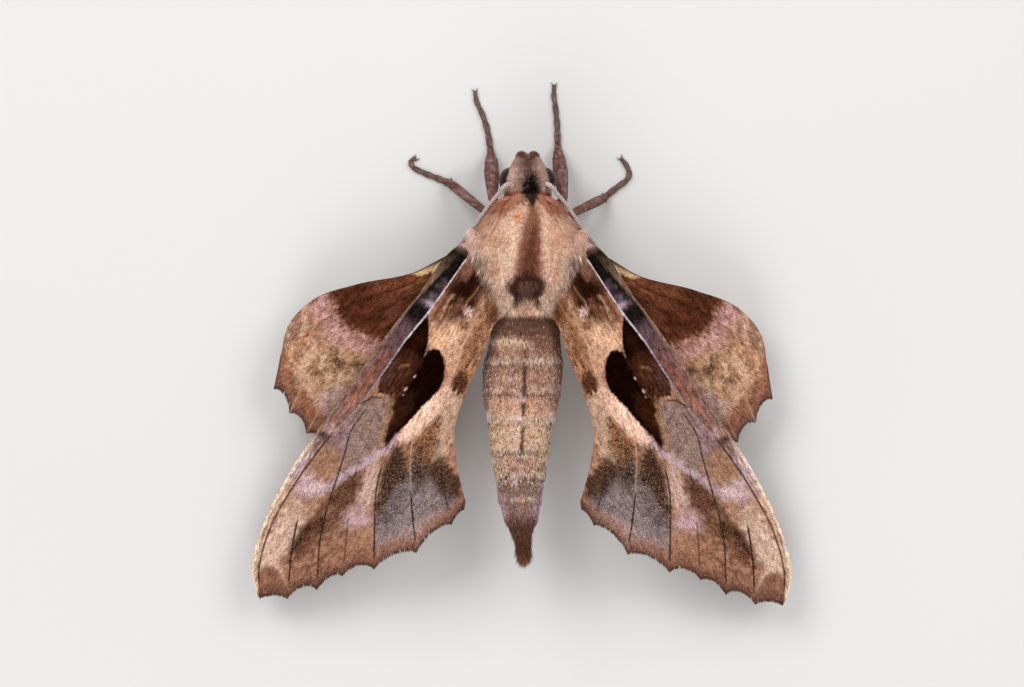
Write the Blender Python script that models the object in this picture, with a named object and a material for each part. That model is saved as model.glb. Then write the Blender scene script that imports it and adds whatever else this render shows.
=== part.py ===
"""Buff leaf hawkmoth (Phyllosphingia dissimilis), life size, resting on a level floor.

The head points along -Y, the moth's own left side is +X and its soles lie at Z = 0.
Lengths are written in millimetres and become metres when a mesh is made.
"""
import math
import random

import bmesh
import bpy
import numpy as np

MM = 0.001
GAP = 0.3
LEFT, RIGHT = 1, -1
SIDE_NAMES = {LEFT: "left", RIGHT: "right"}

# Body: stations along Y, each with half width, top and underside heights.
MIDLINE = -0.71
HEAD_MIDLINE = -0.80
BODY_SIDES = 28
NECK_Y = -17.2
WAIST_Y = -4.35
HEAD_STATIONS = (
    (NECK_Y - GAP / 2, 2.55, 12.0, 6.9),
    (-18.2, 2.65, 12.3, 6.6),
    (-19.2, 2.50, 12.3, 6.4),
    (-20.1, 2.25, 11.9, 6.6),
    (-20.8, 1.90, 11.2, 7.0),
    (-21.3, 1.35, 10.4, 7.5),
    (-21.6, 0.65, 9.6, 8.2),
)
THORAX_STATIONS = (
    (NECK_Y + GAP / 2, 3.20, 12.6, 6.3),
    (-16.4, 3.90, 13.5, 5.5),
    (-15.2, 4.70, 14.2, 4.9),
    (-13.8, 5.75, 14.7, 4.3),
    (-12.3, 6.75, 15.0, 4.0),
    (-10.7, 6.90, 15.1, 4.0),
    (-9.0, 6.35, 15.0, 4.1),
    (-7.4, 5.60, 14.7, 4.4),
    (-5.9, 4.80, 14.2, 4.8),
    (WAIST_Y - GAP / 2, 4.20, 13.6, 5.2),
)
# The abdomen's stations also carry its drift from the midline.
ABDOMEN_OUTLINE = (
    (WAIST_Y + GAP / 2, 3.95, 13.4, 5.2, 0.05),
    (0.4, 4.45, 13.3, 4.7, 0.26),
    (3.5, 4.98, 13.3, 4.5, 0.49),
    (7.0, 4.72, 13.2, 4.6, 0.68),
    (10.0, 4.05, 13.1, 5.0, 0.75),
    (13.6, 3.65, 13.0, 5.6, 0.83),
    (16.4, 3.15, 12.9, 6.3, 0.82),
    (19.0, 2.75, 12.8, 7.2, 0.84),
    (21.4, 2.30, 12.6, 8.0, 0.72),
)
SEGMENT_ENDS = (-1.0, 2.7, 6.3, 9.9, 13.3, 16.4, 19.2, 21.6)
SEGMENT_WAIST = 0.955
SEGMENT_LIP = 1.015
LIP_LENGTH = 0.25
TAIL_STATIONS = (
    (22.4, 1.45, 12.1, 8.9, 0.65),
    (23.9, 1.08, 12.0, 9.5, 0.50),
    (25.6, 0.94, 12.1, 10.0, 0.42),
    (26.5, 0.68, 12.0, 10.4, 0.36),
    (27.1, 0.25, 11.7, 11.1, 0.42),
)

# Locks of long coat and leg spines: share of the length, then width and thickness there against the root's.
LOCK_TAPER = ((0.0, 1.0, 1.0), (0.45, 0.92, 0.92), (0.78, 0.58, 0.62))
LOCK_THICKNESS = 0.55
COAT_SEED = 7
STAGGER = 0.22
TEGULA_LOCKS = 6
WAIST_LOCKS = 7
FRINGE_HEIGHTS = (-24.0, 16.0)
TAIL_LOCKS = 9
SPUR_WIDTH = 0.50
SPUR_LENGTH = 1.15
CLAW_LENGTH = 0.55

# Eyes, palps and antennae.
EYE_RADIUS = 1.6
EYE_PLACE = (1.87, -19.36, 8.9)
PALP_PATH = ((0.80, -19.0, 6.5), (0.84, -20.4, 6.1), (0.84, -21.7, 6.7), (0.82, -22.15, 8.0), (0.70, -22.2, 9.2),
             (0.62, -22.05, 10.0))
PALP_RADII = (0.40, 0.58, 0.66, 0.64, 0.54, 0.28)
ANTENNA_PATH = ((2.0, -18.9, 10.9), (2.75, -18.6, 11.6), (3.55, -17.6, 11.3), (4.65, -16.35, 10.9),
                (5.6, -15.0, 10.6), (6.5, -13.7, 10.2), (7.5, -12.3, 9.2), (8.9, -10.6, 8.0), (10.2, -8.9, 7.3))
ANTENNA_RADII = (0.34, 0.34, 0.32, 0.32, 0.32, 0.32, 0.30, 0.28, 0.16)

# Wings. A wing lies in its own plan: u runs from the shoulder to the apex and v towards the body, both in mm.
SHOULDER = {"forewing": (6.36, -12.4), "hindwing": (6.11, -11.44)}
SWEEP = {
    ("forewing", LEFT): 31.15, ("forewing", RIGHT): 29.35,
    ("hindwing", LEFT): 55.5, ("hindwing", RIGHT): 52.6,
}
ROOF_HEIGHT = 12.3
ROOF_SLOPE = 0.25
REAR_DROOP = 1.5
DROOP_LENGTH = 44.0
HINDWING_DROP = 1.35
WING_THICKNESS = 0.55
RIDGE_TOP = 0.20
RIDGE_BELOW = 0.10
RIDGE_HALF_WIDTH = 0.34
ROOT_FLAT = 0.12
# Each line of a wing runs from its root to its edge; True marks a raised vein.
FOREWING_LINES = (
    ("costa", False, ((-0.9, 2.3), (0.6, -0.2), (10.1, -2.3), (23.1, -3.6), (36.0, -4.5), (43.2, -3.9),
                      (48.4, -2.3), (50.1, -0.6))),
    ("subcosta", True, ((-0.7, 2.7), (1.2, 0.5), (10.5, -0.7), (23.5, -2.3), (35.9, -3.3), (43.2, -2.9),
                        (48.2, -1.4), (50.4, 0.1))),
    ("radius", True, ((-0.4, 3.1), (1.8, 1.0), (10.8, 0.1), (21.0, -1.2), (31.0, -2.1), (39.9, -0.6),
                      (48.6, 3.0))),
    ("media_1", True, ((-0.1, 3.5), (2.3, 1.7), (11.0, 1.2), (21.0, 0.2), (28.5, -0.4), (36.0, 1.4),
                       (45.8, 5.5))),
    ("media_2", True, ((0.3, 3.9), (2.8, 2.4), (11.3, 2.5), (20.0, 1.8), (28.0, 1.6), (35.0, 3.8),
                       (42.7, 7.3))),
    ("media_3", True, ((0.7, 4.4), (3.4, 3.1), (11.5, 3.7), (19.5, 3.3), (26.5, 4.1), (33.5, 6.5),
                       (40.0, 10.1))),
    ("cubitus_1", True, ((1.3, 5.0), (4.0, 3.9), (11.5, 4.8), (19.0, 5.0), (25.0, 6.8), (30.2, 9.3),
                         (35.6, 13.4))),
    ("cubitus_2", True, ((2.0, 5.8), (4.8, 4.9), (11.5, 5.9), (17.5, 6.5), (22.5, 8.4), (26.8, 11.2),
                         (30.5, 15.2))),
    ("anal", True, ((3.0, 6.9), (5.8, 6.0), (11.6, 7.0), (17.0, 7.8), (21.5, 9.5), (25.3, 12.2),
                    (28.2, 15.5))),
    ("inner_edge", False, ((4.2, 8.1), (7.0, 7.5), (11.6, 8.2), (15.7, 8.7), (20.8, 9.9), (24.4, 12.4),
                           (27.3, 15.2))),
)
FOREWING_SCALLOPS = (0.0, 0.35, 0.90, 0.75, 0.85, 0.75, 0.75, 0.25, 0.0)
HINDWING_LINES = (
    ("costa", False, ((-1.2, 2.0), (1.2, -0.2), (8.5, -1.8), (14.5, -4.4), (20.0, -5.9), (24.2, -5.0),
                      (26.9, -2.6))),
    ("subcosta", True, ((-1.0, 2.5), (1.6, 0.5), (8.0, -0.4), (14.0, -2.2), (19.5, -3.2), (24.5, -2.4),
                        (29.6, 0.1))),
    ("radius", True, ((-0.8, 3.0), (2.0, 1.3), (8.0, 0.7), (14.0, -0.2), (19.5, -0.2), (24.8, 0.9),
                      (29.7, 3.6))),
    ("media_1", True, ((-0.5, 3.6), (2.3, 2.2), (8.0, 1.9), (13.5, 1.9), (19.0, 2.6), (24.2, 4.2),
                       (29.4, 6.8))),
    ("media_3", True, ((-0.3, 4.2), (2.4, 3.1), (7.8, 3.2), (13.0, 4.0), (18.0, 5.4), (23.0, 7.5),
                       (27.8, 10.1))),
    ("cubitus_1", True, ((0.0, 5.0), (2.6, 4.1), (7.3, 4.7), (12.2, 6.3), (16.5, 8.2), (20.5, 10.3),
                         (24.6, 13.0))),
    ("cubitus_2", True, ((0.3, 6.0), (2.8, 5.3), (7.0, 6.6), (11.0, 8.6), (14.5, 10.6), (17.4, 12.4),
                         (20.2, 14.7))),
    ("inner_edge", False, ((0.8, 7.3), (3.4, 7.2), (6.6, 8.9), (9.6, 10.8), (12.0, 12.2), (13.8, 13.2),
                           (15.4, 14.2))),
)
HINDWING_SCALLOPS = (0.0, 0.75, 0.75, 0.70, 0.60, 0.50, 0.30)

# Legs: femur root, knee, tibia end and tarsus, as (out from the midline, y, height of the centre).
LEG_SIDES = 10
SOLE_RATIO = 0.55
TARSUS_RADII = (0.40, 0.27)
TARSOMERES = 5
FORELEG_TIBIA = ((0.0, 0.50), (0.25, 0.72), (0.55, 0.92), (0.80, 0.80), (1.0, 0.48))
HINDER_TIBIA = ((0.0, 0.46), (0.25, 0.50), (0.55, 0.56), (0.80, 0.58), (1.0, 0.46))
FEMUR = ((0.0, 0.72), (0.35, 0.80), (0.75, 0.64), (0.95, 0.52))
LEGS = {
    ("foreleg", LEFT): {
        "femur": ((1.7, -13.6, 5.6), (4.15, -17.1, 5.7)), "tibia_end": (4.35, -22.7, 0.9),
        "tarsus": ((4.55, -24.2), (4.9, -26.1), (5.5, -27.9), (6.1, -29.1), (6.35, -30.75)),
        "profile": FORELEG_TIBIA,
    },
    ("foreleg", RIGHT): {
        "femur": ((1.7, -13.6, 5.6), (4.45, -17.2, 5.7)), "tibia_end": (3.8, -23.1, 0.9),
        "tarsus": ((3.75, -25.5), (3.65, -27.2), (3.5, -28.6), (3.3, -29.8), (3.35, -31.42)),
        "profile": FORELEG_TIBIA,
    },
    ("midleg", LEFT): {
        "femur": ((2.3, -10.3, 5.0), (5.1, -15.7, 6.3)), "tibia_end": (9.4, -19.3, 0.9),
        "tarsus": ((11.4, -20.1), (13.3, -20.9), (14.2, -21.5), (14.15, -22.1), (13.3, -22.35)),
        "profile": HINDER_TIBIA,
    },
    ("midleg", RIGHT): {
        "femur": ((2.3, -10.3, 5.0), (5.4, -15.4, 6.3)), "tibia_end": (9.3, -17.4, 0.9),
        "tarsus": ((11.0, -18.8), (12.5, -20.1), (12.4, -21.0), (12.0, -21.7), (11.3, -22.5)),
        "profile": HINDER_TIBIA,
    },
    ("hindleg", LEFT): {
        "femur": ((2.5, -7.2, 5.2), (6.6, -2.0, 6.5)), "tibia_end": (8.9, 4.2, 0.9),
        "tarsus": ((9.2, 6.2), (9.4, 8.0), (9.7, 9.6), (9.9, 11.0), (10.3, 12.4)),
        "profile": HINDER_TIBIA,
    },
    ("hindleg", RIGHT): {
        "femur": ((2.5, -7.2, 5.2), (6.7, -2.2, 6.5)), "tibia_end": (9.2, 3.8, 0.9),
        "tarsus": ((9.6, 5.7), (9.9, 7.5), (10.1, 9.1), (10.5, 10.5), (10.8, 11.9)),
        "profile": HINDER_TIBIA,
    },
}

# Finishes: base colour, roughness.
FINISHES = {
    "head_coat": ((0.27, 0.17, 0.135), 0.85),
    "thorax_coat": ((0.30, 0.195, 0.15), 0.88),
    "abdomen_coat": ((0.29, 0.20, 0.14), 0.85),
    "eye_gloss": ((0.035, 0.018, 0.014), 0.15),
    "palp_coat": ((0.25, 0.145, 0.12), 0.85),
    "antenna_scale": ((0.52, 0.45, 0.42), 0.6),
    "leg_scale": ((0.24, 0.12, 0.105), 0.7),
    "forewing_scale": ((0.25, 0.165, 0.13), 0.75),
    "hindwing_scale": ((0.31, 0.17, 0.135), 0.75),
}


def finish(name):
    """A Principled material with the colour and roughness of one finish."""
    found = bpy.data.materials.get(name)
    if found:
        return found
    colour, roughness = FINISHES[name]
    material = bpy.data.materials.new(name)
    material.use_nodes = True
    shader = material.node_tree.nodes["Principled BSDF"]
    shader.inputs["Base Color"].default_value = (*colour, 1.0)
    shader.inputs["Roughness"].default_value = roughness
    shader.inputs["Metallic"].default_value = 0.0
    return material


def make_object(name, vertices, faces, collection, finish_name=None):
    """An object from vertices in millimetres, with its faces turned outwards."""
    mesh = bpy.data.meshes.new(name)
    mesh.from_pydata((np.asarray(vertices) * MM).tolist(), [], faces)
    work = bmesh.new()
    work.from_mesh(mesh)
    bmesh.ops.recalc_face_normals(work, faces=work.faces)
    work.to_mesh(mesh)
    work.free()
    obj = bpy.data.objects.new(name, mesh)
    collection.objects.link(obj)
    if finish_name:
        mesh.materials.append(finish(finish_name))
        mesh.shade_smooth()
        mesh.set_sharp_from_angle(angle=math.radians(40))
    return obj


def smooth_path(points, places):
    """Points at the given fractions (0 to 1) of a path through `points`, by cubic arcs that share tangents."""
    points = np.asarray(points, float)
    knots = np.concatenate([[0.0], np.cumsum(np.linalg.norm(np.diff(points, axis=0), axis=1))])
    knots /= knots[-1]
    slopes = np.gradient(points, knots, axis=0)
    places = np.asarray(places, float)
    span = np.clip(np.searchsorted(knots, places, side="right") - 1, 0, len(points) - 2)
    width = (knots[span + 1] - knots[span])[:, None]
    t = ((places - knots[span])[:, None]) / width
    start, end = points[span], points[span + 1]
    return ((2 * t**3 - 3 * t**2 + 1) * start + (t**3 - 2 * t**2 + t) * width * slopes[span]
            + (3 * t**2 - 2 * t**3) * end + (t**3 - t**2) * width * slopes[span + 1])


def body_rings(stations, midline, grow=0.0):
    """Oval sections across Y; `grow` widens them and moves the end sections outwards by the same amount."""
    angles = np.linspace(0, 2 * math.pi, BODY_SIDES, endpoint=False)
    rings = []
    for index, station in enumerate(stations):
        y, half, top, under = station[:4]
        drift = station[4] if len(station) > 4 else 0.0
        if index in (0, len(stations) - 1):
            inward = stations[1][0] if index == 0 else stations[-2][0]
            y += grow * (1 if y > inward else -1)
        centre = (top + under) / 2
        x = midline + drift + (half + grow) * np.cos(angles)
        z = centre + ((top - under) / 2 + grow) * np.sin(angles)
        rings.append(np.stack([x, np.full_like(x, y), z], axis=1))
    return np.array(rings)


def swept_rings(path, radii, sides, across=(0.0, 0.0, 1.0)):
    """Round sections square to a path; `across` is a direction that the path never follows."""
    path = np.asarray(path, float)
    tangent = np.gradient(path, axis=0)
    tangent /= np.linalg.norm(tangent, axis=1)[:, None]
    first = np.cross(tangent, across)
    first /= np.linalg.norm(first, axis=1)[:, None]
    second = np.cross(first, tangent)
    angles = (np.arange(sides) + 0.5) * 2 * math.pi / sides
    spokes = first[:, None] * np.cos(angles)[None, :, None] + second[:, None] * np.sin(angles)[None, :, None]
    return path[:, None] + spokes * np.asarray(radii)[:, None, None]


def loft(name, rings, collection, finish_name=None):
    """A closed body skinned over equal rings, with a flat face at each end."""
    count, sides = rings.shape[:2]
    faces = []
    for ring in range(count - 1):
        for side in range(sides):
            after = (side + 1) % sides
            low, high = ring * sides, (ring + 1) * sides
            faces.append((low + side, low + after, high + after, high + side))
    faces.append(tuple(range(sides)))
    faces.append(tuple(range((count - 1) * sides, count * sides)))
    return make_object(name, rings.reshape(-1, 3), faces, collection, finish_name)


def keep_largest(mesh):
    """Drop every closed surface of a mesh but the one with most faces."""
    work = bmesh.new()
    work.from_mesh(mesh)
    unseen = set(work.faces)
    islands = []
    while unseen:
        stack = [unseen.pop()]
        island = []
        while stack:
            face = stack.pop()
            island.append(face)
            for edge in face.edges:
                for neighbour in edge.link_faces:
                    if neighbour in unseen:
                        unseen.remove(neighbour)
                        stack.append(neighbour)
        islands.append(island)
    islands.sort(key=len)
    for island in islands[:-1]:
        bmesh.ops.delete(work, geom=island, context="FACES")
    work.to_mesh(mesh)
    work.free()


def apply_modifiers(piece):
    """Give a piece the mesh that its modifiers make, as one closed body."""
    bpy.context.view_layer.update()
    evaluated = piece.evaluated_get(bpy.context.evaluated_depsgraph_get())
    mesh = bpy.data.meshes.new_from_object(evaluated)
    piece.modifiers.clear()
    old = piece.data
    piece.data = mesh
    mesh.name = piece.name
    bpy.data.meshes.remove(old)
    keep_largest(mesh)


def carve(piece, cutters):
    """Cut the cutters' shapes out of a piece."""
    for cutter in cutters:
        modifier = piece.modifiers.new(cutter.name, "BOOLEAN")
        modifier.operation = "DIFFERENCE"
        modifier.solver = "EXACT"
        modifier.object = cutter
    apply_modifiers(piece)


def lock(root, heading, flat, length, width, bend, thickness=LOCK_THICKNESS):
    """A flat blade that tapers to a point and bends against `flat`, the direction that its broad face looks in."""
    root, heading, flat = (np.asarray(value, float) for value in (root, heading, flat))
    heading = heading / np.linalg.norm(heading)
    across = np.cross(heading, flat)
    across /= np.linalg.norm(across)
    flat = np.cross(across, heading)
    vertices = []
    for place, wide, thick in LOCK_TAPER:
        centre = root + heading * length * place - flat * bend * place**2
        half, rise = across * width * wide / 2, flat * thickness * thick / 2
        vertices += [centre + half, centre + rise, centre - half, centre - rise]
    vertices.append(root + heading * length - flat * bend)
    last = len(vertices) - 1
    faces = [(0, 1, 2, 3)]
    for ring in range(0, last - 4, 4):
        faces += [(ring + k, ring + (k + 1) % 4, ring + 4 + (k + 1) % 4, ring + 4 + k) for k in range(4)]
    faces += [(last - 4 + k, last - 4 + (k + 1) % 4, last) for k in range(4)]
    return np.array(vertices), faces


def fuse(piece, blades):
    """Join blades to a piece in one union and keep one closed body."""
    group = bpy.data.collections.new(f"{piece.name}_blades")
    bpy.context.scene.collection.children.link(group)
    for number, (vertices, faces) in enumerate(blades):
        make_object(f"{piece.name}_blade_{number}", vertices, faces, group)
    modifier = piece.modifiers.new("blades", "BOOLEAN")
    modifier.operation = "UNION"
    modifier.solver = "EXACT"
    modifier.operand_type = "COLLECTION"
    modifier.collection = group
    apply_modifiers(piece)
    for blade in list(group.objects):
        bpy.data.objects.remove(blade, do_unlink=True)
    bpy.data.collections.remove(group)


def wing_roof(out, y):
    """Height of the forewing's middle surface: a roof that falls outwards and droops to the rear."""
    behind = np.clip((y - SHOULDER["forewing"][1]) / DROOP_LENGTH, 0, None)
    return ROOF_HEIGHT - ROOF_SLOPE * (out - SHOULDER["forewing"][0]) - REAR_DROOP * behind**2


def wing_lines(lines, scallops, rows, between):
    """Plan points of a wing and its ridge height, on a grid of rows from the root and lines across it.

    Lines between two veins blend their curves, and the edge is pulled in between veins by its scallop.
    Beside each vein runs a line at the foot of the ridge.
    """
    along = np.linspace(0, 1, rows)
    curves = np.array([smooth_path(points, along) for _, _, points in lines])
    plan, ridge = [], []
    fade = np.clip((along - 0.80) / 0.20, 0, 1) ** 2
    for index in range(len(lines) - 1):
        first, second = curves[index], curves[index + 1]
        spacing = np.linalg.norm(second - first, axis=1)
        foot = np.minimum(RIDGE_HALF_WIDTH / spacing, 0.24)
        steps = [np.zeros(rows)]
        if lines[index][1]:
            steps.append(foot)
        steps += [np.full(rows, (k + 1) / (between + 1)) for k in range(between)]
        if lines[index + 1][1]:
            steps.append(1 - foot)
        inward = np.gradient(first + second, axis=0)
        inward /= -np.linalg.norm(inward, axis=1)[:, None]
        for number, part in enumerate(steps):
            pull = scallops[index] * np.sin(math.pi * part) ** 0.8 * fade
            plan.append(first + (second - first) * part[:, None] + inward * pull[:, None])
            is_vein = number == 0 and lines[index][1]
            ridge.append(np.where(along > ROOT_FLAT, 1.0, 0.0) if is_vein else np.zeros(rows))
    plan.append(curves[-1])
    ridge.append(np.zeros(rows))
    return np.array(plan), np.array(ridge)


def wing_plate(name, kind, side, plan, ridge, drop, collection, finish_name):
    """A wing as a thin curved plate with its veins raised, split into triangles alike above and below."""
    sweep = math.radians(SWEEP[kind, side])
    u, v = plan[..., 0], plan[..., 1]
    out = SHOULDER[kind][0] + u * math.sin(sweep) - v * math.cos(sweep)
    y = SHOULDER[kind][1] + u * math.cos(sweep) + v * math.sin(sweep)
    x = MIDLINE + side * out
    height = wing_roof(out, y) - drop
    upper = np.stack([x, y, height + WING_THICKNESS / 2 + RIDGE_TOP * ridge], axis=-1)
    lower = np.stack([x, y, height - WING_THICKNESS / 2 - RIDGE_BELOW * ridge], axis=-1)
    count, rows = ridge.shape
    total = count * rows
    faces = []
    for line in range(count - 1):
        for row in range(rows - 1):
            a = line * rows + row
            b, c, d = a + 1, a + rows + 1, a + rows
            for tri in ((a, b, c), (a, c, d)):
                faces.append(tri)
                faces.append(tuple(corner + total for corner in reversed(tri)))
    rim = [line * rows for line in range(count)]
    rim += [(count - 1) * rows + row for row in range(1, rows)]
    rim += [line * rows + rows - 1 for line in range(count - 2, -1, -1)]
    rim += [row for row in range(rows - 2, 0, -1)]
    for here, there in zip(rim, rim[1:] + rim[:1]):
        faces.append((here, there, there + total))
        faces.append((here, there + total, here + total))
    points = np.concatenate([upper.reshape(-1, 3), lower.reshape(-1, 3)])
    return make_object(name, points, faces, collection, finish_name)


def mirrored(points, side, midline=MIDLINE):
    """Points given outwards from the midline, placed on one side of the body."""
    points = np.array(points, float)
    points[:, 0] = midline + side * points[:, 0]
    return points


def leg_path(plan):
    """Centre line and radii of one leg: femur, tibia, then five tarsomeres lying on their sole."""
    root, knee = (np.array(point) for point in plan["femur"])
    ankle = np.array(plan["tibia_end"])
    path = [root + (knee - root) * place for place, _ in FEMUR]
    radii = [radius for _, radius in FEMUR]
    path += [knee + (ankle - knee) * place for place, _ in plan["profile"]]
    radii += [radius for _, radius in plan["profile"]]
    toes = np.linspace(0, 1, 2 * TARSOMERES)
    thickness = TARSUS_RADII[0] + (TARSUS_RADII[1] - TARSUS_RADII[0]) * toes
    thickness *= np.where(np.arange(2 * TARSOMERES) % 2, 1.06, 0.86)
    outline = np.array([ankle[:2], *plan["tarsus"]])
    places = np.linspace(0.10, 1.0, 2 * TARSOMERES)
    ground = smooth_path(outline, places)
    path += [(x, y, SOLE_RATIO * radius) for (x, y), radius in zip(ground, thickness)]
    radii += list(thickness)
    return np.array(path), np.array(radii)


def build_body(parts, cutters):
    """Thorax, abdomen and head, with cutters that stand GAP proud of the first three."""
    thorax = loft("thorax", body_rings(THORAX_STATIONS, MIDLINE), parts, "thorax_coat")
    thorax_cutter = loft("thorax_room", body_rings(THORAX_STATIONS, MIDLINE, GAP), cutters)
    outline = np.array(ABDOMEN_OUTLINE)
    stations = []
    start = outline[0, 0]
    for end in SEGMENT_ENDS:
        for place, swell in ((start, SEGMENT_WAIST), ((start + end) / 2, 1.0), (end - LIP_LENGTH, SEGMENT_LIP)):
            half, top, under, drift = (np.interp(place, outline[:, 0], outline[:, k]) for k in range(1, 5))
            middle = (top + under) / 2
            stations.append((place, half * swell, middle + (top - middle) * swell,
                             middle - (middle - under) * swell, drift))
        start = end
    stations += TAIL_STATIONS
    abdomen = loft("abdomen", body_rings(stations, MIDLINE), parts, "abdomen_coat")
    abdomen_cutter = loft("abdomen_room", body_rings(stations, MIDLINE, GAP), cutters)
    head = loft("head", body_rings(HEAD_STATIONS, HEAD_MIDLINE), parts, "head_coat")
    head_cutter = loft("head_room", body_rings(HEAD_STATIONS, HEAD_MIDLINE, GAP), cutters)
    return head, thorax, abdomen, head_cutter, thorax_cutter, abdomen_cutter


def section(stations, y):
    """Half width, top, underside and drift of a body at a place along Y."""
    table = np.array([(*station, 0.0)[:5] for station in stations])
    return [float(np.interp(y, table[:, 0], table[:, k])) for k in range(1, 5)]


def on_body(stations, y, angle, sink):
    """A point of a body's surface and the way out there; the angle runs from the side (0) over the top (90)."""
    half, top, under, drift = section(stations, y)
    turn = math.radians(angle)
    outward = np.array([math.cos(turn) / half, 0.0, math.sin(turn) / ((top - under) / 2)])
    outward /= np.linalg.norm(outward)
    point = np.array([MIDLINE + drift + half * math.cos(turn), y, (top + under) / 2
                      + (top - under) / 2 * math.sin(turn)])
    return point - outward * sink, outward


def build_coat(thorax, abdomen):
    """Long coat: tegula locks over the wing roots, a tuft over the waist, side fringes and the tail tuft."""
    draw = random.Random(COAT_SEED)
    blades = []
    for side in SIDE_NAMES:
        for number in range(TEGULA_LOCKS):
            share = number / (TEGULA_LOCKS - 1)
            angle = 76 - 24 * share
            root, out = on_body(THORAX_STATIONS, -9.4 + 1.4 * share, angle if side > 0 else 180 - angle, 0.20)
            heading = np.array([side * (0.12 + 0.30 * share), 1.0, 0.03])
            flat = np.array([side * 0.2, 0.0, 1.0])
            rise = out * STAGGER * (number % 2)
            blades.append(lock(root + rise, heading, flat, draw.uniform(2.6, 3.3), 1.05, 0.0))
    for number in range(WAIST_LOCKS):
        angle = 90 + 9.5 * (number - (WAIST_LOCKS - 1) / 2)
        root, out = on_body(THORAX_STATIONS, -6.4, angle, 0.35)
        heading = np.array([out[0] * 0.2, 1.0, -0.02])
        rise = out * (0.30 + STAGGER * (number % 2))
        blades.append(lock(root + rise, heading, out, draw.uniform(3.2, 3.9), 1.1, -0.1))
    fuse(thorax, blades)
    blades = []
    for end in SEGMENT_ENDS[:-1]:
        for side in SIDE_NAMES:
            for height in FRINGE_HEIGHTS:
                angle = height + draw.uniform(-5, 5)
                root, out = on_body(ABDOMEN_OUTLINE, end - 0.9, angle if side > 0 else 180 - angle, 0.30)
                heading = np.array([out[0] * 0.16, 1.0, out[2] * 0.1])
                blades.append(lock(root, heading, out, draw.uniform(1.5, 1.9), 0.9, -0.1))
    for number in range(TAIL_LOCKS):
        share = number / (TAIL_LOCKS - 1)
        angle = -200 + 400 * share * (TAIL_LOCKS - 1) / TAIL_LOCKS
        root, out = on_body(TAIL_STATIONS, 24.6, angle, 0.35)
        heading = np.array([out[0] * 0.10, 1.0, out[2] * 0.10])
        blades.append(lock(root, heading, out, draw.uniform(2.2, 2.7), 0.75, 0.15))
    fuse(abdomen, blades)


def ball(name, centre, radius, collection, finish_name=None):
    """A sphere with its poles across the body."""
    work = bmesh.new()
    bmesh.ops.create_uvsphere(work, u_segments=20, v_segments=12, radius=radius * MM)
    mesh = bpy.data.meshes.new(name)
    work.to_mesh(mesh)
    work.free()
    obj = bpy.data.objects.new(name, mesh)
    obj.location = [value * MM for value in centre]
    obj.rotation_euler = (0.0, math.pi / 2, 0.0)
    collection.objects.link(obj)
    if finish_name:
        mesh.materials.append(finish(finish_name))
        mesh.shade_smooth()
    return obj


def build_head_parts(head, head_cutter, parts, cutters):
    """Eyes in their sockets, and palps and antennae that meet the head."""
    for side, word in SIDE_NAMES.items():
        centre = mirrored([EYE_PLACE], side, HEAD_MIDLINE)[0]
        ball(f"eye_{word}", centre, EYE_RADIUS, parts, "eye_gloss")
        socket = ball(f"eye_room_{word}", centre, EYE_RADIUS + GAP, cutters)
        carve(head, [socket])
        palp_rings = swept_rings(mirrored(PALP_PATH, side, HEAD_MIDLINE), PALP_RADII, 10, (1.0, 0.0, 0.0))
        palp = loft(f"palp_{word}", palp_rings, parts, "palp_coat")
        carve(palp, [head_cutter])
        places = np.linspace(0, 1, 22)
        path = smooth_path(mirrored(ANTENNA_PATH, side, HEAD_MIDLINE), places)
        radii = np.interp(places, np.linspace(0, 1, len(ANTENNA_RADII)), ANTENNA_RADII)
        antenna = loft(f"antenna_{word}", swept_rings(path, radii, 8), parts, "antenna_scale")
        carve(antenna, [head_cutter])


def build_wings(thorax_cutter, abdomen_cutter, parts):
    """Both pairs of wings, cut clear of the thorax and abdomen at their roots."""
    sets = {
        "forewing": (*wing_lines(FOREWING_LINES, FOREWING_SCALLOPS, 15, 2), 0.0),
        "hindwing": (*wing_lines(HINDWING_LINES, HINDWING_SCALLOPS, 11, 1), HINDWING_DROP),
    }
    for kind, (plan, ridge, drop) in sets.items():
        for side, word in SIDE_NAMES.items():
            wing = wing_plate(f"{kind}_{word}", kind, side, plan, ridge, drop, parts, f"{kind}_scale")
            carve(wing, [thorax_cutter, abdomen_cutter])


def leg_spines(kind, side, path):
    """Two claws at the end of the tarsus, and a pair of spurs at the end of each hinder tibia."""
    up = np.array([0.0, 0.0, 1.0])
    ahead = path[-1] - path[-3]
    ahead[2] = 0.0
    ahead /= np.linalg.norm(ahead)
    across = np.cross(ahead, up)
    blades = []
    for lean in (-1, 1):
        root = path[-1] - ahead * 0.25 + across * lean * 0.08 + up * 0.08
        blades.append(lock(root, ahead + across * lean * 0.55, up, CLAW_LENGTH + 0.25, 0.28, 0.12, 0.3))
    if kind == "foreleg":
        return blades
    ankle = path[len(FEMUR) + len(HINDER_TIBIA) - 1]
    knee = path[len(FEMUR)]
    along = (ankle - knee) / np.linalg.norm(ankle - knee)
    across = np.cross(along, up)
    across /= np.linalg.norm(across)
    for lean in (-1, 1):
        root = ankle - along * 0.55 + up * 0.05
        blades.append(lock(root, along * 0.85 + across * lean * 0.6, up, SPUR_LENGTH, SPUR_WIDTH, 0.0))
    return blades


def build_legs(thorax_cutter, parts):
    """Six legs from the thorax to the floor, each with a flat sole along its tarsus."""
    for (kind, side), plan in LEGS.items():
        path, radii = leg_path(plan)
        rings = swept_rings(mirrored(path, side), radii, LEG_SIDES)
        rings[..., 2] = np.maximum(rings[..., 2], 0.0)
        leg = loft(f"{kind}_{SIDE_NAMES[side]}", rings, parts, "leg_scale")
        fuse(leg, leg_spines(kind, side, mirrored(path, side)))
        carve(leg, [thorax_cutter])


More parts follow.
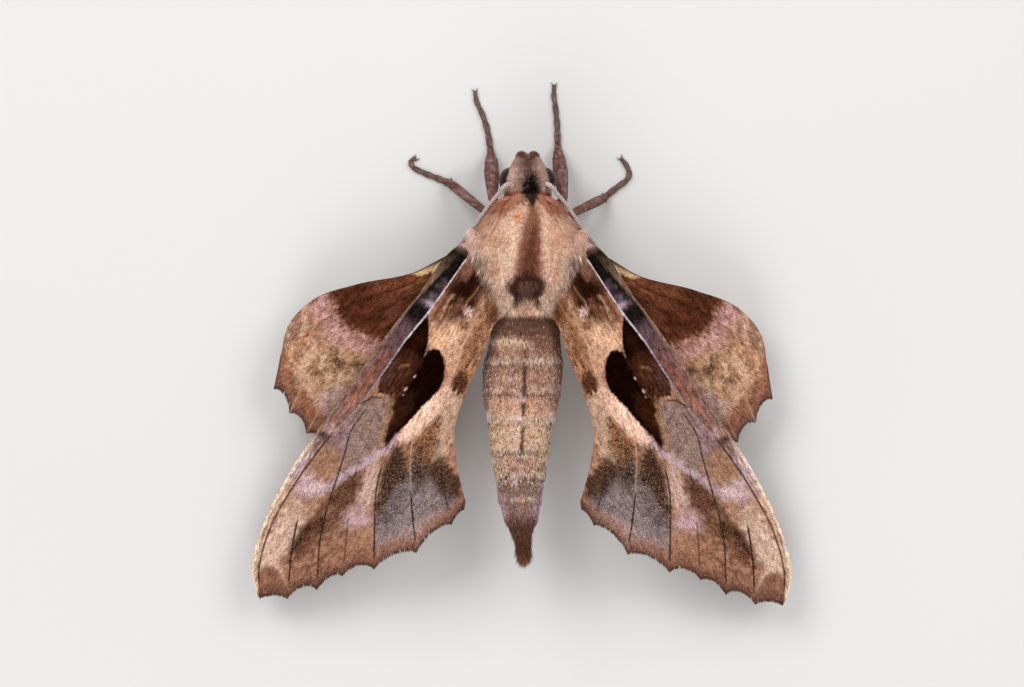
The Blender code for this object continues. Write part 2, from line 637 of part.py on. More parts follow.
def main():
    for obj in list(bpy.data.objects):
        bpy.data.objects.remove(obj, do_unlink=True)
    parts = bpy.data.collections.new("buff_leaf_hawkmoth")
    cutters = bpy.data.collections.new("cutters")
    for collection in (parts, cutters):
        bpy.context.scene.collection.children.link(collection)
    head, thorax, abdomen, head_cutter, thorax_cutter, abdomen_cutter = build_body(parts, cutters)
    build_head_parts(head, head_cutter, parts, cutters)
    build_wings(thorax_cutter, abdomen_cutter, parts)
    build_legs(thorax_cutter, parts)
    build_coat(thorax, abdomen)
    for cutter in cutters.objects:
        cutter.hide_render = True
        cutter.display_type = "WIRE"


main()
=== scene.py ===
"""Looks of a buff leaf hawkmoth at rest, life size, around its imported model.

Lengths are in millimetres and become metres when a mesh is made. The head points along -Y, the moth's own
left side is +X and its soles lie at Z = 0. Colours are linear.
"""
import math

import bpy
import numpy as np
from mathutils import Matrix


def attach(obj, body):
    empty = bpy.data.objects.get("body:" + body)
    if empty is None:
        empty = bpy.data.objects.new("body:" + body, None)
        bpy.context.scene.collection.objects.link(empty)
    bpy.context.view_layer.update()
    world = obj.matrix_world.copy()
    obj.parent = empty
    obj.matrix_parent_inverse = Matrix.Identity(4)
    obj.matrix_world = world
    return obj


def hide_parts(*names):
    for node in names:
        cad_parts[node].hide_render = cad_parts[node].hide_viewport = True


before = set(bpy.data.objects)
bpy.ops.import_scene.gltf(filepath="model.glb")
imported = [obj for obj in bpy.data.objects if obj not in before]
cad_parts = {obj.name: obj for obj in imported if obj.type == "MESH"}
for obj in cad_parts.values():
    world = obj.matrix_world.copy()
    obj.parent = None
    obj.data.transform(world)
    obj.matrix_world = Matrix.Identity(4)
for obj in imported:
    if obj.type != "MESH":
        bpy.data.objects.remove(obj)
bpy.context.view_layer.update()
MM = 0.001

# Skin of the head, thorax and abdomen: one chitin shell from the brow to the anal tuft, ringed by the
# abdomen's segments. It lies under the coat by the coat's depth and carries the coat's markings.
MIDLINE = -0.71
# Each station: place along Y, half width, top, underside, drift from the midline, depth of the coat.
BODY_STATIONS = np.array((
    (-21.6, 0.75, 9.7, 8.1, -0.09, 0.14), (-21.3, 1.35, 10.4, 7.5, -0.09, 0.14),
    (-20.8, 1.9, 11.2, 7.0, -0.09, 0.14), (-20.1, 2.25, 11.9, 6.6, -0.09, 0.18),
    (-19.2, 2.5, 12.3, 6.4, -0.09, 0.18), (-18.2, 2.65, 12.3, 6.6, -0.09, 0.18),
    (-17.4, 2.6, 12.1, 6.9, -0.07, 0.18), (-16.9, 3.4, 12.8, 6.1, -0.02, 0.26),
    (-16.4, 3.9, 13.5, 5.5, 0.0, 0.26), (-15.2, 4.7, 14.2, 4.9, 0.0, 0.26),
    (-13.8, 5.75, 14.7, 4.3, 0.0, 0.26), (-12.3, 6.75, 15.0, 4.0, 0.0, 0.26),
    (-10.7, 6.9, 15.1, 4.0, 0.0, 0.26), (-9.0, 6.35, 15.0, 4.1, 0.0, 0.26),
    (-7.4, 5.6, 14.7, 4.4, 0.0, 0.26), (-5.9, 4.8, 14.2, 4.8, 0.0, 0.26),
    (-4.4, 4.1, 13.6, 5.1, 0.02, 0.26), (-2.8, 4.1, 13.35, 5.0, 0.1, 0.22),
    (0.4, 4.45, 13.3, 4.7, 0.26, 0.22), (3.5, 4.98, 13.3, 4.5, 0.49, 0.22),
    (7.0, 4.72, 13.2, 4.6, 0.68, 0.22), (10.0, 4.05, 13.1, 5.0, 0.75, 0.22),
    (13.6, 3.65, 13.0, 5.6, 0.83, 0.22), (16.4, 3.15, 12.9, 6.3, 0.82, 0.22),
    (19.0, 2.75, 12.8, 7.2, 0.84, 0.22), (21.4, 2.15, 12.5, 8.2, 0.72, 0.2),
    (22.4, 1.7, 12.1, 8.9, 0.65, 0.4), (23.9, 1.12, 12.0, 9.5, 0.5, 0.45),
    (25.6, 0.98, 12.0, 10.0, 0.42, 0.48), (26.4, 0.86, 11.95, 10.3, 0.38, 0.48),
))
NOSE_Y, TAIL_Y = -21.45, 26.2
END_ROUNDING = 0.55
SEGMENT_EDGES = np.array((-4.4, -1.0, 2.7, 6.3, 9.9, 13.3, 16.4, 19.2, 21.6))
SEGMENT_SWELL = (0.985, 0.022)
SKIN_RINGS, SKIN_SIDES = 250, 92


def ramp(value, low, high):
    """0 at low, 1 at high, along the S curve 3t^2 - 2t^3 between them."""
    t = np.clip((value - low) / (high - low), 0.0, 1.0)
    return t * t * (3 - 2 * t)


def along_curve(points, places):
    """Points at fractions 0 to 1 of a path: cubic arcs between its knots, with tangents from their neighbours."""
    points = np.asarray(points, float)
    knots = np.concatenate([[0.0], np.cumsum(np.linalg.norm(np.diff(points, axis=0), axis=1))])
    knots /= knots[-1]
    slopes = np.gradient(points, knots, axis=0)
    places = np.asarray(places, float)
    span = np.clip(np.searchsorted(knots, places, side="right") - 1, 0, len(points) - 2)
    width = (knots[span + 1] - knots[span])[:, None]
    t = (places - knots[span])[:, None] / width
    return ((2 * t**3 - 3 * t**2 + 1) * points[span] + (t**3 - 2 * t**2 + t) * width * slopes[span]
            + (3 * t**2 - 2 * t**3) * points[span + 1] + (t**3 - t**2) * width * slopes[span + 1])


def cloud(x, y, size, seed):
    """Smooth noise from 0 to 1: random values on a square lattice of cells `size` wide, blended by S curves."""
    table = np.random.default_rng(seed).random((64, 64))
    across, along = x / size, y / size
    column, row = np.floor(across).astype(int), np.floor(along).astype(int)
    s, t = ramp(across - column, 0, 1), ramp(along - row, 0, 1)
    near = table[row % 64, column % 64] * (1 - s) + table[row % 64, (column + 1) % 64] * s
    far = table[(row + 1) % 64, column % 64] * (1 - s) + table[(row + 1) % 64, (column + 1) % 64] * s
    return near * (1 - t) + far * t


def blot(x, y, centre, radii, blur=0.35, turn=0.0):
    """Mask of an oval: 1 inside, fading to 0 where its scaled radius passes 1 + blur."""
    c, s = math.cos(math.radians(turn)), math.sin(math.radians(turn))
    a, b = x - centre[0], y - centre[1]
    reach = np.hypot((a * c + b * s) / radii[0], (b * c - a * s) / radii[1])
    return 1 - ramp(reach, 1 - blur, 1 + blur)


def stroke(x, y, path, widths, blur=0.2):
    """Mask of a brush stroke: distance to a line of straight runs, against a width that varies along it."""
    path = np.asarray(path, float)
    widths = np.broadcast_to(np.asarray(widths, float), (len(path),))
    best = np.full(np.shape(x), -1e9)
    for start, end, first, last in zip(path[:-1], path[1:], widths[:-1], widths[1:]):
        run = end - start
        t = np.clip(((x - start[0]) * run[0] + (y - start[1]) * run[1]) / (run @ run), 0, 1)
        gap = np.hypot(x - start[0] - t * run[0], y - start[1] - t * run[1])
        best = np.maximum(best, (first + (last - first) * t) / 2 - gap)
    return ramp(best, -blur, blur)


def region(x, y, outline, blur=0.25):
    """Mask of a closed outline: distance to its sides, positive inside by the count of sides to the right."""
    outline = np.asarray(outline, float)
    inside = np.zeros(np.shape(x), bool)
    nearest = np.full(np.shape(x), 1e9)
    for start, end in zip(outline, np.roll(outline, -1, axis=0)):
        run = end - start
        t = np.clip(((x - start[0]) * run[0] + (y - start[1]) * run[1]) / (run @ run), 0, 1)
        nearest = np.minimum(nearest, np.hypot(x - start[0] - t * run[0], y - start[1] - t * run[1]))
        crosses = (start[1] > y) != (end[1] > y)
        height = run[1] if run[1] else 1e-9
        inside ^= crosses & (x < start[0] + (y - start[1]) * run[0] / height)
    return ramp(np.where(inside, nearest, -nearest), -blur, blur)


def lay(colour, mask, tint):
    """A coat of paint over colours: tint where the mask is 1."""
    return colour + (np.asarray(tint) - colour) * mask[..., None]


def plain(tint, places):
    """One colour for every place of an array."""
    return np.broadcast_to(np.array(tint, float), (*np.shape(places), 3)).copy()


def brushes(colour, x, y):
    """Four brushes that paint into `colour` at places x, y: wash by a mask, oval, stroke and outlined area."""
    def wash(mask, tint):
        colour[...] = lay(colour, mask, tint)

    def oval(centre, radii, tint, strength=0.9, blur=0.5, turn=0.0):
        wash(blot(x, y, centre, radii, blur, turn) * strength, tint)

    def sweep(path, widths, tint, strength=0.85, blur=0.3):
        wash(stroke(x, y, path, widths, blur) * strength, tint)

    def area(outline, tint, strength=0.9, blur=0.3):
        wash(region(x, y, outline, blur) * strength, tint)

    return wash, oval, sweep, area


def unit(vectors):
    """Vectors brought to length 1."""
    return vectors / (np.linalg.norm(vectors, axis=-1, keepdims=True) + 1e-9)


def body_sizes(y):
    """Half width, top, underside, drift and coat depth at places along Y, smoothed between the stations."""
    table = BODY_STATIONS
    spread = np.array((-0.5, -0.25, 0.0, 0.25, 0.5)) * 0.9
    return [np.mean([np.interp(y + step, table[:, 0], table[:, k]) for step in spread], axis=0) for k in range(1, 6)]


def segment_share(y):
    """Share 0 to 1 of the way along the abdomen's segment at each place, 0.75 ahead of and behind the abdomen."""
    index = np.clip(np.searchsorted(SEGMENT_EDGES, y, side="right") - 1, 0, len(SEGMENT_EDGES) - 2)
    share = (y - SEGMENT_EDGES[index]) / (SEGMENT_EDGES[index + 1] - SEGMENT_EDGES[index])
    return np.where((y < SEGMENT_EDGES[0]) | (y > SEGMENT_EDGES[-1]), 0.75, share)


def body_point(y, angle, lift=0.0):
    """Skin at Y and an angle round it (0 is the left side, 90 degrees the back): an oval, inset by the coat.

    Segments swell from front to rear, both ends round off by a circle, and `lift` raises the point again.
    """
    half, top, under, drift, depth = body_sizes(y)
    share = segment_share(y)
    swell = SEGMENT_SWELL[0] + SEGMENT_SWELL[1] * share**0.6 - 0.016 * ramp(share, 0.94, 1.0)
    nose = np.clip((y - NOSE_Y) / END_ROUNDING, 0, 1)
    tail = np.clip((TAIL_Y - y) / END_ROUNDING, 0, 1)
    close = np.sqrt(np.clip(1 - (1 - nose) ** 2, 0, 1)) * np.sqrt(np.clip(1 - (1 - tail) ** 2, 0, 1))
    wide = np.maximum((half * swell - depth) * close + lift, 0.0)
    high = np.maximum(((top - under) / 2 * swell - depth) * close + lift, 0.0)
    flank = 1 + 0.035 * np.sin(2 * angle) ** 2
    x = MIDLINE + drift + wide * flank * np.cos(angle)
    return np.stack([x, y + 0 * angle, (top + under) / 2 + high * flank * np.sin(angle)], axis=-1)


def body_outward(y, angle):
    """Unit normals of the skin, from its slopes along Y and round the angle."""
    step = 0.05
    along = body_point(y + step, angle) - body_point(y - step, angle)
    around = body_point(y, angle + 0.02) - body_point(y, angle - 0.02)
    normal = unit(np.cross(along, around))
    centre = body_point(y, angle) - body_point(y, angle + math.pi)
    return normal * np.sign(np.sum(normal * centre, axis=-1, keepdims=True))


UNDER_TAN = (0.42, 0.25, 0.18)
TAN = (0.72, 0.47, 0.34)
# The abdomen's brown at places along Y: place, red, green, blue.
ABDOMEN_BROWNS = np.array(((-3.2, 0.11, 0.048, 0.03), (-1.0, 0.17, 0.078, 0.05), (2.0, 0.36, 0.19, 0.125),
                           (5.0, 0.39, 0.205, 0.142), (7.5, 0.55, 0.3, 0.2), (10.0, 0.72, 0.45, 0.305),
                           (13.0, 0.62, 0.37, 0.255), (14.8, 0.49, 0.28, 0.195), (17.0, 0.24, 0.145, 0.115),
                           (20.3, 0.29, 0.175, 0.15), (22.0, 0.13, 0.056, 0.037), (24.5, 0.085, 0.03, 0.017),
                           (26.0, 0.13, 0.045, 0.022), (27.0, 0.36, 0.15, 0.06)))
PALE_EDGE, LILAC_EDGE = (0.68, 0.52, 0.54), (0.39, 0.25, 0.3)
SEGMENT_SPOTS = ((0.1, 13.75, 0.9, 0.28), (0.8, 11.1, 0.6, 0.35), (0.2, 6.95, 0.8, 0.25), (0.7, 16.7, 0.6, 0.5),
                 (0.5, 9.3, 0.8, 0.3), (0.9, 4.3, 0.8, 0.3))


def paint_thorax(x, y, brush):
    """Thorax: brown collar lobes with a pale hem, pale bands beside the stripe, pink tegulae, grey hair behind."""
    wash, oval, sweep, area = brush
    wash(ramp(cloud(x, y / 2.0, 0.9, 5), 0.45, 0.9) * 0.45, (0.48, 0.255, 0.165))
    sweep(((3.4, -14.6), (4.7, -13.6)), 1.2, (0.47, 0.245, 0.155), 0.7, 0.7)
    sweep(((-4.6, -14.5), (-6.0, -13.6)), 1.0, (0.45, 0.25, 0.165), 0.6, 0.7)
    sweep(((1.45, -13.6), (1.75, -11.0), (1.95, -6.9)), (0.7, 1.0, 1.2), (0.7, 0.47, 0.37), 0.85, 0.45)
    sweep(((-2.8, -13.6), (-3.0, -10.5), (-3.2, -7.1)), (0.4, 0.6, 0.9), (0.66, 0.45, 0.36), 0.8, 0.4)
    for place, radii, level in (((2.6, -11.9), (1.0, 1.3), 0.4), ((3.6, -13.9), (0.9, 0.7), 0.5),
                                ((-4.3, -11.5), (0.9, 1.5), 0.5), ((-3.7, -14.0), (0.8, 0.5), 0.4),
                                ((3.3, -8.6), (0.6, 1.2), 0.4), ((-4.0, -8.3), (0.6, 1.1), 0.4)):
        oval(place, radii, (0.5, 0.27, 0.175), level, 0.8)
    sweep(((5.0, -13.6), (4.8, -12.2), (4.75, -10.8)), 0.3, (0.28, 0.14, 0.09), 0.7, 0.35)
    sweep(((-6.1, -13.4), (-6.15, -12.0), (-5.95, -10.8)), 0.3, (0.26, 0.13, 0.085), 0.75, 0.35)
    oval((5.9, -11.4), (1.0, 1.7), (0.7, 0.45, 0.395))
    oval((-7.25, -11.3), (1.0, 1.7), (0.7, 0.45, 0.395))
    sweep(((4.6, -9.4), (4.3, -5.4)), (0.5, 1.0), (0.15, 0.085, 0.062), 0.85, 0.45)
    sweep(((-6.0, -9.8), (-5.5, -5.8)), (0.5, 1.0), (0.3, 0.215, 0.18), 0.75, 0.45)
    sweep(((2.9, -6.6), (2.7, -3.6)), 0.8, (0.62, 0.42, 0.32), 0.7, 0.4)
    for lobe in (((-0.6, -18.1), (1.2, -18.4), (2.4, -18.0), (3.6, -17.2), (4.5, -16.2), (4.4, -15.8), (3.7, -15.4),
                  (2.7, -14.8), (1.8, -14.7), (1.1, -15.4), (0.3, -16.0), (-0.5, -16.4)),
                 ((-1.6, -18.1), (-3.0, -18.3), (-4.4, -17.4), (-5.6, -16.3), (-5.8, -15.4), (-4.7, -14.8),
                  (-3.6, -14.8), (-3.0, -15.2), (-2.4, -15.9), (-1.7, -16.4))):
        area(lobe, (0.4, 0.16, 0.094), 0.93, 0.24)
    sweep(((0.1, -15.9), (0.8, -15.2), (1.3, -14.4), (1.7, -13.9)), 0.35, (0.62, 0.43, 0.34), 0.8, 0.2)
    sweep(((-2.1, -15.9), (-2.6, -14.9), (-3.4, -14.4), (-4.9, -14.4)), 0.35, (0.62, 0.43, 0.34), 0.8, 0.2)
    sweep(((-0.1, -15.6), (-0.4, -14.8)), 0.5, (0.55, 0.37, 0.29), 0.7, 0.25)
    stripe = ((-1.2, -16.3), (-1.45, -15.2), (-1.3, -13.2), (-1.0, -11.0), (-0.85, -9.0), (-0.8, -7.7))
    sweep(stripe, (0.4, 1.5, 2.3, 2.9, 3.2, 3.3), (0.25, 0.094, 0.055), 0.93, 0.55)
    sweep(((-1.6, -13.4), (-1.2, -11.0), (-0.9, -8.0)), (0.6, 1.5, 2.0), (0.105, 0.032, 0.016), 0.8, 0.6)
    area(((1.7, -6.7), (1.1, -5.2), (-0.8, -4.9), (-2.5, -5.2), (-2.9, -6.4), (-2.5, -7.3), (1.0, -7.5)),
         (0.17, 0.08, 0.053), 0.92, 0.5)
    anchor = ((1.5, -6.6), (0.4, -7.0), (-0.9, -7.5), (-2.0, -7.2), (-2.9, -6.7))
    sweep(anchor, (0.4, 1.2, 1.7, 1.1, 0.3), (0.042, 0.014, 0.008), 0.95, 0.5)
    for path in (((0.9, -6.5), (0.55, -4.7)), ((-1.9, -6.5), (-2.0, -4.5)), ((0.4, -5.7), (-1.8, -5.6))):
        sweep(path, (1.1, 0.9), (0.045, 0.016, 0.01), 0.93, 0.55)
    oval((-0.85, -6.35), (1.0, 0.6), (0.15, 0.08, 0.058), 0.75, 0.6)
    sweep(((-0.75, -4.7), (-0.7, -3.0)), (1.0, 2.2), (0.5, 0.31, 0.225), 0.88, 0.45)
    sweep(((2.3, -5.3), (1.9, -3.4)), 0.9, (0.34, 0.195, 0.145), 0.65, 0.5)
    sweep(((-3.3, -5.3), (-3.1, -3.4)), 0.9, (0.34, 0.195, 0.145), 0.65, 0.5)


def paint_abdomen(x, y, side, rough, brush):
    """Abdomen: brown segments, pale rear fringes, dark dorsal line, painted shade on the sides (most ahead) and segment
    fronts, lilac sides behind.
    """
    wash, oval, sweep, _ = brush
    belly = ramp(y, -3.5, -2.6)
    share = segment_share(y + rough * 1.2 + 0.5 * (cloud(x, y, 1.4, 12) - 0.5))
    brown = np.stack([np.interp(y, ABDOMEN_BROWNS[:, 0], ABDOMEN_BROWNS[:, k]) for k in (1, 2, 3)], axis=-1)
    wash(belly, brown)
    shade = np.interp(y, (-3, 4, 12, 18, 22), (0.6, 0.55, 0.35, 0.4, 0.3))
    wash(belly * ramp(cloud(x, y, 0.8, 6), 0.42, 0.8) * shade, (0.19, 0.085, 0.052))
    # Painted shade: the abdomen's sides darken towards the edge, most on the front segments.
    wash(belly * ramp(side, 0.62, 1.0) * np.interp(y, (-3, 7.5, 10, 17), (0.9, 0.85, 0.35, 0.5)),
         (0.13, 0.058, 0.036))
    fringe = ramp(share, 0.66, 0.93) * belly * ramp(cloud(x, y, 0.5, 8), 0.25, 0.6) * (y < 20.5) * ramp(y, -0.8, 0.4)
    wash(fringe * 0.7, (0.6, 0.44, 0.35))
    # Painted shade: the front of each segment, under the rear edge of the one ahead, is darkened.
    wash(belly * (1 - ramp(share, 0.0, 0.12)) * (y < 21) * 0.3, (0.14, 0.062, 0.042))
    for path, width, level in ((((-0.4, 2.9), (-0.35, 6.2)), 0.46, 0.95), (((-0.3, 7.5), (-0.25, 8.9)), 0.44, 0.95),
                               (((-0.2, 10.2), (-0.1, 13.3)), 0.5, 0.9), (((-0.5, 0.2), (-0.5, 1.8)), 0.5, 0.6)):
        sweep(path, width, (0.03, 0.014, 0.01), level, 0.2)
    sweep(((0.9, 14.15), (-0.8, 14.15)), 0.25, (0.06, 0.035, 0.025), 0.85, 0.15)
    oval((-1.7, -2.4), (2.3, 0.45), (0.075, 0.033, 0.021), 0.7, 0.6)
    oval((2.3, -2.9), (0.7, 0.6), (0.07, 0.031, 0.022), 0.65, 0.6)
    sweep(((3.0, 0.2), (1.4, 0.1), (0.1, 0.25), (-1.0, 0.4)), (0.9, 1.0, 0.6, 0.2), (0.8, 0.56, 0.4), 0.85, 0.8)
    sweep(((-0.6, 2.7), (-3.0, 2.5)), (0.5, 0.9), (0.58, 0.43, 0.345), 0.7, 0.4)
    for spot in SEGMENT_SPOTS:
        oval(spot[:2], spot[2:], (0.56, 0.45, 0.44), 0.65, 0.6)
    for sign in (-1, 1):
        for place, reach, level, long, tint in ((9.0, 4.0, 0.6, 0.5, PALE_EDGE), (14.3, 3.45, 0.95, 0.5, PALE_EDGE),
                                                (17.9, 2.75, 0.6, 1.3, LILAC_EDGE), (20.2, 2.15, 0.8, 1.3, LILAC_EDGE)):
            oval((MIDLINE + 0.8 + sign * reach, place), (0.6, long), tint, level)
    return belly, share


def paint_head(x, y, wx, wy, brush):
    """Head: pale grey-pink brow, greyer sides, dark smudge, red-brown tip, and the black spot at the nape."""
    wash, oval, sweep, _ = brush
    head = plain((0.6, 0.42, 0.345), x)
    head = lay(head, ramp(cloud(x, y, 0.6, 9), 0.4, 0.85) * 0.5, (0.38, 0.235, 0.18))
    head = lay(head, ramp(-wy, 20.5, 21.4) * 0.7, (0.4, 0.265, 0.215))
    head = lay(head, blot(wx, wy, (-0.85, -20.9), (0.85, 1.45), 0.8) * 0.85, (0.075, 0.028, 0.018))
    head = lay(head, ramp(-wy, 21.6, 22.1) * 0.9, (0.42, 0.165, 0.095))
    wash(ramp(-y, 17.9, 18.5), head)
    oval((-1.1, -18.9), (1.6, 1.9), (0.15, 0.07, 0.048), 0.7, 0.9)
    oval((-1.1, -18.7), (1.0, 1.3), (0.002, 0.0008, 0.0005), 1.0, 0.5)
    sweep(((-1.12, -18.0), (-1.2, -17.0), (-1.25, -16.1)), (2.0, 1.5, 0.5), (0.006, 0.002, 0.001), 0.97, 0.45)
    oval((0.35, -14.7), (0.42, 0.55), (0.62, 0.17, 0.05), 0.85, 0.4)
    oval((0.08, 18.9), (0.2, 0.3), (0.6, 0.18, 0.04), 0.85, 0.4)


def body_colour(x, y, z):
    """Markings of the coat at points of the body: tan, with the collar, dorsal stripe, anchor and segment marks."""
    middle = MIDLINE + np.interp(y, BODY_STATIONS[:, 0], BODY_STATIONS[:, 4])
    half = np.interp(y, BODY_STATIONS[:, 0], BODY_STATIONS[:, 1])
    rough = (cloud(x, y, 0.35, 3) - 0.5) * 0.45
    wx, wy = x + rough * 0.7, y + (cloud(x, y, 0.22, 4) - 0.5) * 0.8
    side = np.abs(wx - middle) / np.maximum(half, 0.5)
    colour = plain(TAN, x)
    colour *= (0.86 + 0.38 * cloud(x, y / 1.6, 1.2, 7))[..., None]
    brush = brushes(colour, wx, wy)
    wash, *_ = brush
    paint_thorax(x, y, brush)
    belly, share = paint_abdomen(x, y, side, rough, brush)
    paint_head(x, y, wx, wy, brush)
    # Underside: plain tan-brown with faint rings.
    centre = np.interp(y, BODY_STATIONS[:, 0], (BODY_STATIONS[:, 2] + BODY_STATIONS[:, 3]) / 2)
    below = 1 - ramp(z - centre, -2.2, -0.4)
    wash(below * np.interp(y, (19, 23), (0.9, 0.1)), UNDER_TAN)
    return lay(colour, below * belly * ramp(share, 0.75, 0.95) * 0.5, (0.26, 0.13, 0.09))


def closed_rings(rings):
    """Points and faces of a tube of rings whose ends come together in one pole each."""
    count, sides = rings.shape[:2]
    points = np.concatenate([rings.reshape(-1, 3), rings[:1].mean(axis=1), rings[-1:].mean(axis=1)])
    ring, side = np.meshgrid(np.arange(count - 1), np.arange(sides), indexing="ij")
    after = (side + 1) % sides
    quads = np.stack([ring * sides + side, ring * sides + after, (ring + 1) * sides + after,
                      (ring + 1) * sides + side], axis=-1).reshape(-1, 4)
    edge, turn = np.arange(sides), (np.arange(sides) + 1) % sides
    first = np.stack([np.full(sides, count * sides), turn, edge], axis=-1)
    last_row = (count - 1) * sides
    last = np.stack([np.full(sides, count * sides + 1), last_row + edge, last_row + turn], axis=-1)
    return points, [quads, np.concatenate([first, last])]


def outward_faces(points, face_sets):
    """The faces of a closed mesh, all turned over if its volume comes out negative."""
    volume = 0.0
    for faces in face_sets:
        for corner in range(1, faces.shape[1] - 1):
            a, b, c = points[faces[:, 0]], points[faces[:, corner]], points[faces[:, corner + 1]]
            volume += np.einsum("ij,ij->", a, np.cross(b, c))
    return [faces[:, ::-1] for faces in face_sets] if volume < 0 else face_sets


def make_piece(name, points, face_sets, material, colour=None, fields=None, unwrap=None, smooth=True):
    """A mesh from points in mm and arrays of faces, with colours and numbers kept at its points, on the body."""
    face_sets = outward_faces(points, face_sets)
    corners = np.concatenate([faces.ravel() for faces in face_sets]).astype(np.int32)
    sizes = np.concatenate([np.full(len(faces), faces.shape[1]) for faces in face_sets])
    mesh = bpy.data.meshes.new(name)
    mesh.vertices.add(len(points))
    mesh.vertices.foreach_set("co", np.ascontiguousarray(points * MM, np.float32).ravel())
    mesh.loops.add(len(corners))
    mesh.loops.foreach_set("vertex_index", corners)
    mesh.polygons.add(len(sizes))
    mesh.polygons.foreach_set("loop_start", (np.cumsum(sizes) - sizes).astype(np.int32))
    mesh.update(calc_edges=True)
    mesh.polygons.foreach_set("use_smooth", np.full(len(sizes), smooth))
    if colour is not None:
        rgba = np.concatenate([np.clip(colour, 0, 1), np.ones((len(points), 1))], axis=1).astype(np.float32)
        mesh.attributes.new("coat", "FLOAT_COLOR", "POINT").data.foreach_set("color", rgba.ravel())
    for key, values in (fields or {}).items():
        values = np.ascontiguousarray(values, np.float32)
        kind, word = ("FLOAT_VECTOR", "vector") if values.ndim == 2 else ("FLOAT", "value")
        mesh.attributes.new(key, kind, "POINT").data.foreach_set(word, values.ravel())
    if unwrap is not None:
        layer = mesh.uv_layers.new(name="OFBake")
        layer.uv.foreach_set("vector", np.ascontiguousarray(unwrap[corners], np.float32).ravel())
    mesh.materials.append(material)
    piece = bpy.data.objects.new(name, mesh)
    bpy.context.scene.collection.objects.link(piece)
    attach(piece, "root")
    return piece


def new_finish(name, roughness, specular=0.25, sheen=0.0):
    """A new material, its node tree and its Principled shader."""
    material = bpy.data.materials.new(name)
    material.use_nodes = True
    tree = material.node_tree
    shader = tree.nodes["Principled BSDF"]
    shader.inputs["Roughness"].default_value = roughness
    shader.inputs["Specular IOR Level"].default_value = specular
    shader.inputs["Sheen Weight"].default_value = sheen
    return material, tree, shader


def node(tree, kind, inputs, **settings):
    """A shader node with its settings; each input is a value, or a socket that is linked to it."""
    made = tree.nodes.new(kind)
    for word, value in settings.items():
        setattr(made, word, value)
    for key, value in inputs.items():
        if isinstance(value, bpy.types.NodeSocket):
            tree.links.new(value, made.inputs[key])
        else:
            made.inputs[key].default_value = value
    return made


def grain_group():
    """Shader group for powdery scales: cells of random brightness that tint a colour and raise a height.

    Where and Cells place and size the cells; the height is each cell's own level, so that Bump gives tiny steps.
    """
    group = bpy.data.node_groups.new("powder_of_scales", "ShaderNodeTree")
    for word, kind in (("Colour", "NodeSocketColor"), ("Where", "NodeSocketVector"), ("Cells", "NodeSocketFloat"),
                       ("Contrast", "NodeSocketFloat"), ("Gold", "NodeSocketFloat"), ("Streak", "NodeSocketFloat")):
        group.interface.new_socket(word, in_out="INPUT", socket_type=kind)
    group.interface.new_socket("Colour", in_out="OUTPUT", socket_type="NodeSocketColor")
    group.interface.new_socket("Height", in_out="OUTPUT", socket_type="NodeSocketFloat")
    given = group.nodes.new("NodeGroupInput").outputs

    def maths(operation, *inputs):
        return node(group, "ShaderNodeMath", dict(enumerate(inputs)), operation=operation).outputs[0]

    cells = node(group, "ShaderNodeTexVoronoi", {"Vector": given["Where"], "Scale": given["Cells"]}, feature="F1")
    level = node(group, "ShaderNodeSeparateColor", {"Color": cells.outputs["Color"]}).outputs
    gain = maths("MULTIPLY_ADD", maths("SUBTRACT", level["Red"], 0.5), given["Contrast"], 1.0)
    along = node(group, "ShaderNodeVectorMath", {0: given["Where"], 1: (0.36, 1.0, 1.0)}, operation="MULTIPLY")
    rows = node(group, "ShaderNodeTexNoise", {"Vector": along.outputs[0],
                                              "Scale": maths("MULTIPLY", given["Cells"], 0.3), "Detail": 3.0,
                                              "Roughness": 0.65})
    colour = given["Colour"]
    for low, high, tint in ((0.5, 0.34, (0.46, 0.34, 0.28, 1.0)), (0.54, 0.7, (1.36, 1.36, 1.36, 1.0))):
        part = node(group, "ShaderNodeMapRange", {"Value": rows.outputs["Fac"], "From Min": low, "From Max": high})
        amount = maths("MULTIPLY", part.outputs["Result"], given["Streak"])
        colour = node(group, "ShaderNodeMix", {"Factor": amount, 6: colour, 7: tint}, data_type="RGBA",
                      blend_type="MULTIPLY").outputs[2]
    tinted = node(group, "ShaderNodeVectorMath", {0: colour, "Scale": gain}, operation="SCALE").outputs[0]
    share = maths("MULTIPLY", maths("GREATER_THAN", level["Green"], 0.8), given["Gold"])
    gilded = node(group, "ShaderNodeMix", {"Factor": share, 6: tinted, 7: (0.6, 0.42, 0.27, 1.0)}, data_type="RGBA")
    node(group, "NodeGroupOutput", {"Colour": gilded.outputs[2], "Height": level["Blue"]})
    return group


powder = grain_group()


def coat_finish(name, roughness, cells=9000.0, contrast=0.5, gold=0.15, bump=0.25, depth=0.00004, sheen=0.0,
                where="", gold_field="", specular=0.08, streak=0.4):
    """Finish of a scaled surface: its painted colours under the powder group, with a bump from the scales."""
    material, tree, shader = new_finish(name, roughness, specular, sheen)
    paint = node(tree, "ShaderNodeAttribute", {}, attribute_name="coat").outputs["Color"]
    if where:
        spot = node(tree, "ShaderNodeAttribute", {}, attribute_name=where).outputs["Vector"]
    else:
        spot = node(tree, "ShaderNodeTexCoord", {}).outputs["Object"]
    if gold_field:
        gold = node(tree, "ShaderNodeAttribute", {}, attribute_name=gold_field).outputs["Fac"]
    scales = node(tree, "ShaderNodeGroup", {"Colour": paint, "Where": spot, "Cells": cells, "Contrast": contrast,
                                            "Gold": gold, "Streak": streak}, node_tree=powder)
    relief = node(tree, "ShaderNodeBump", {"Strength": bump, "Distance": depth, "Height": scales.outputs["Height"]})
    tree.links.new(scales.outputs["Colour"], shader.inputs["Base Color"])
    tree.links.new(relief.outputs["Normal"], shader.inputs["Normal"])
    return material


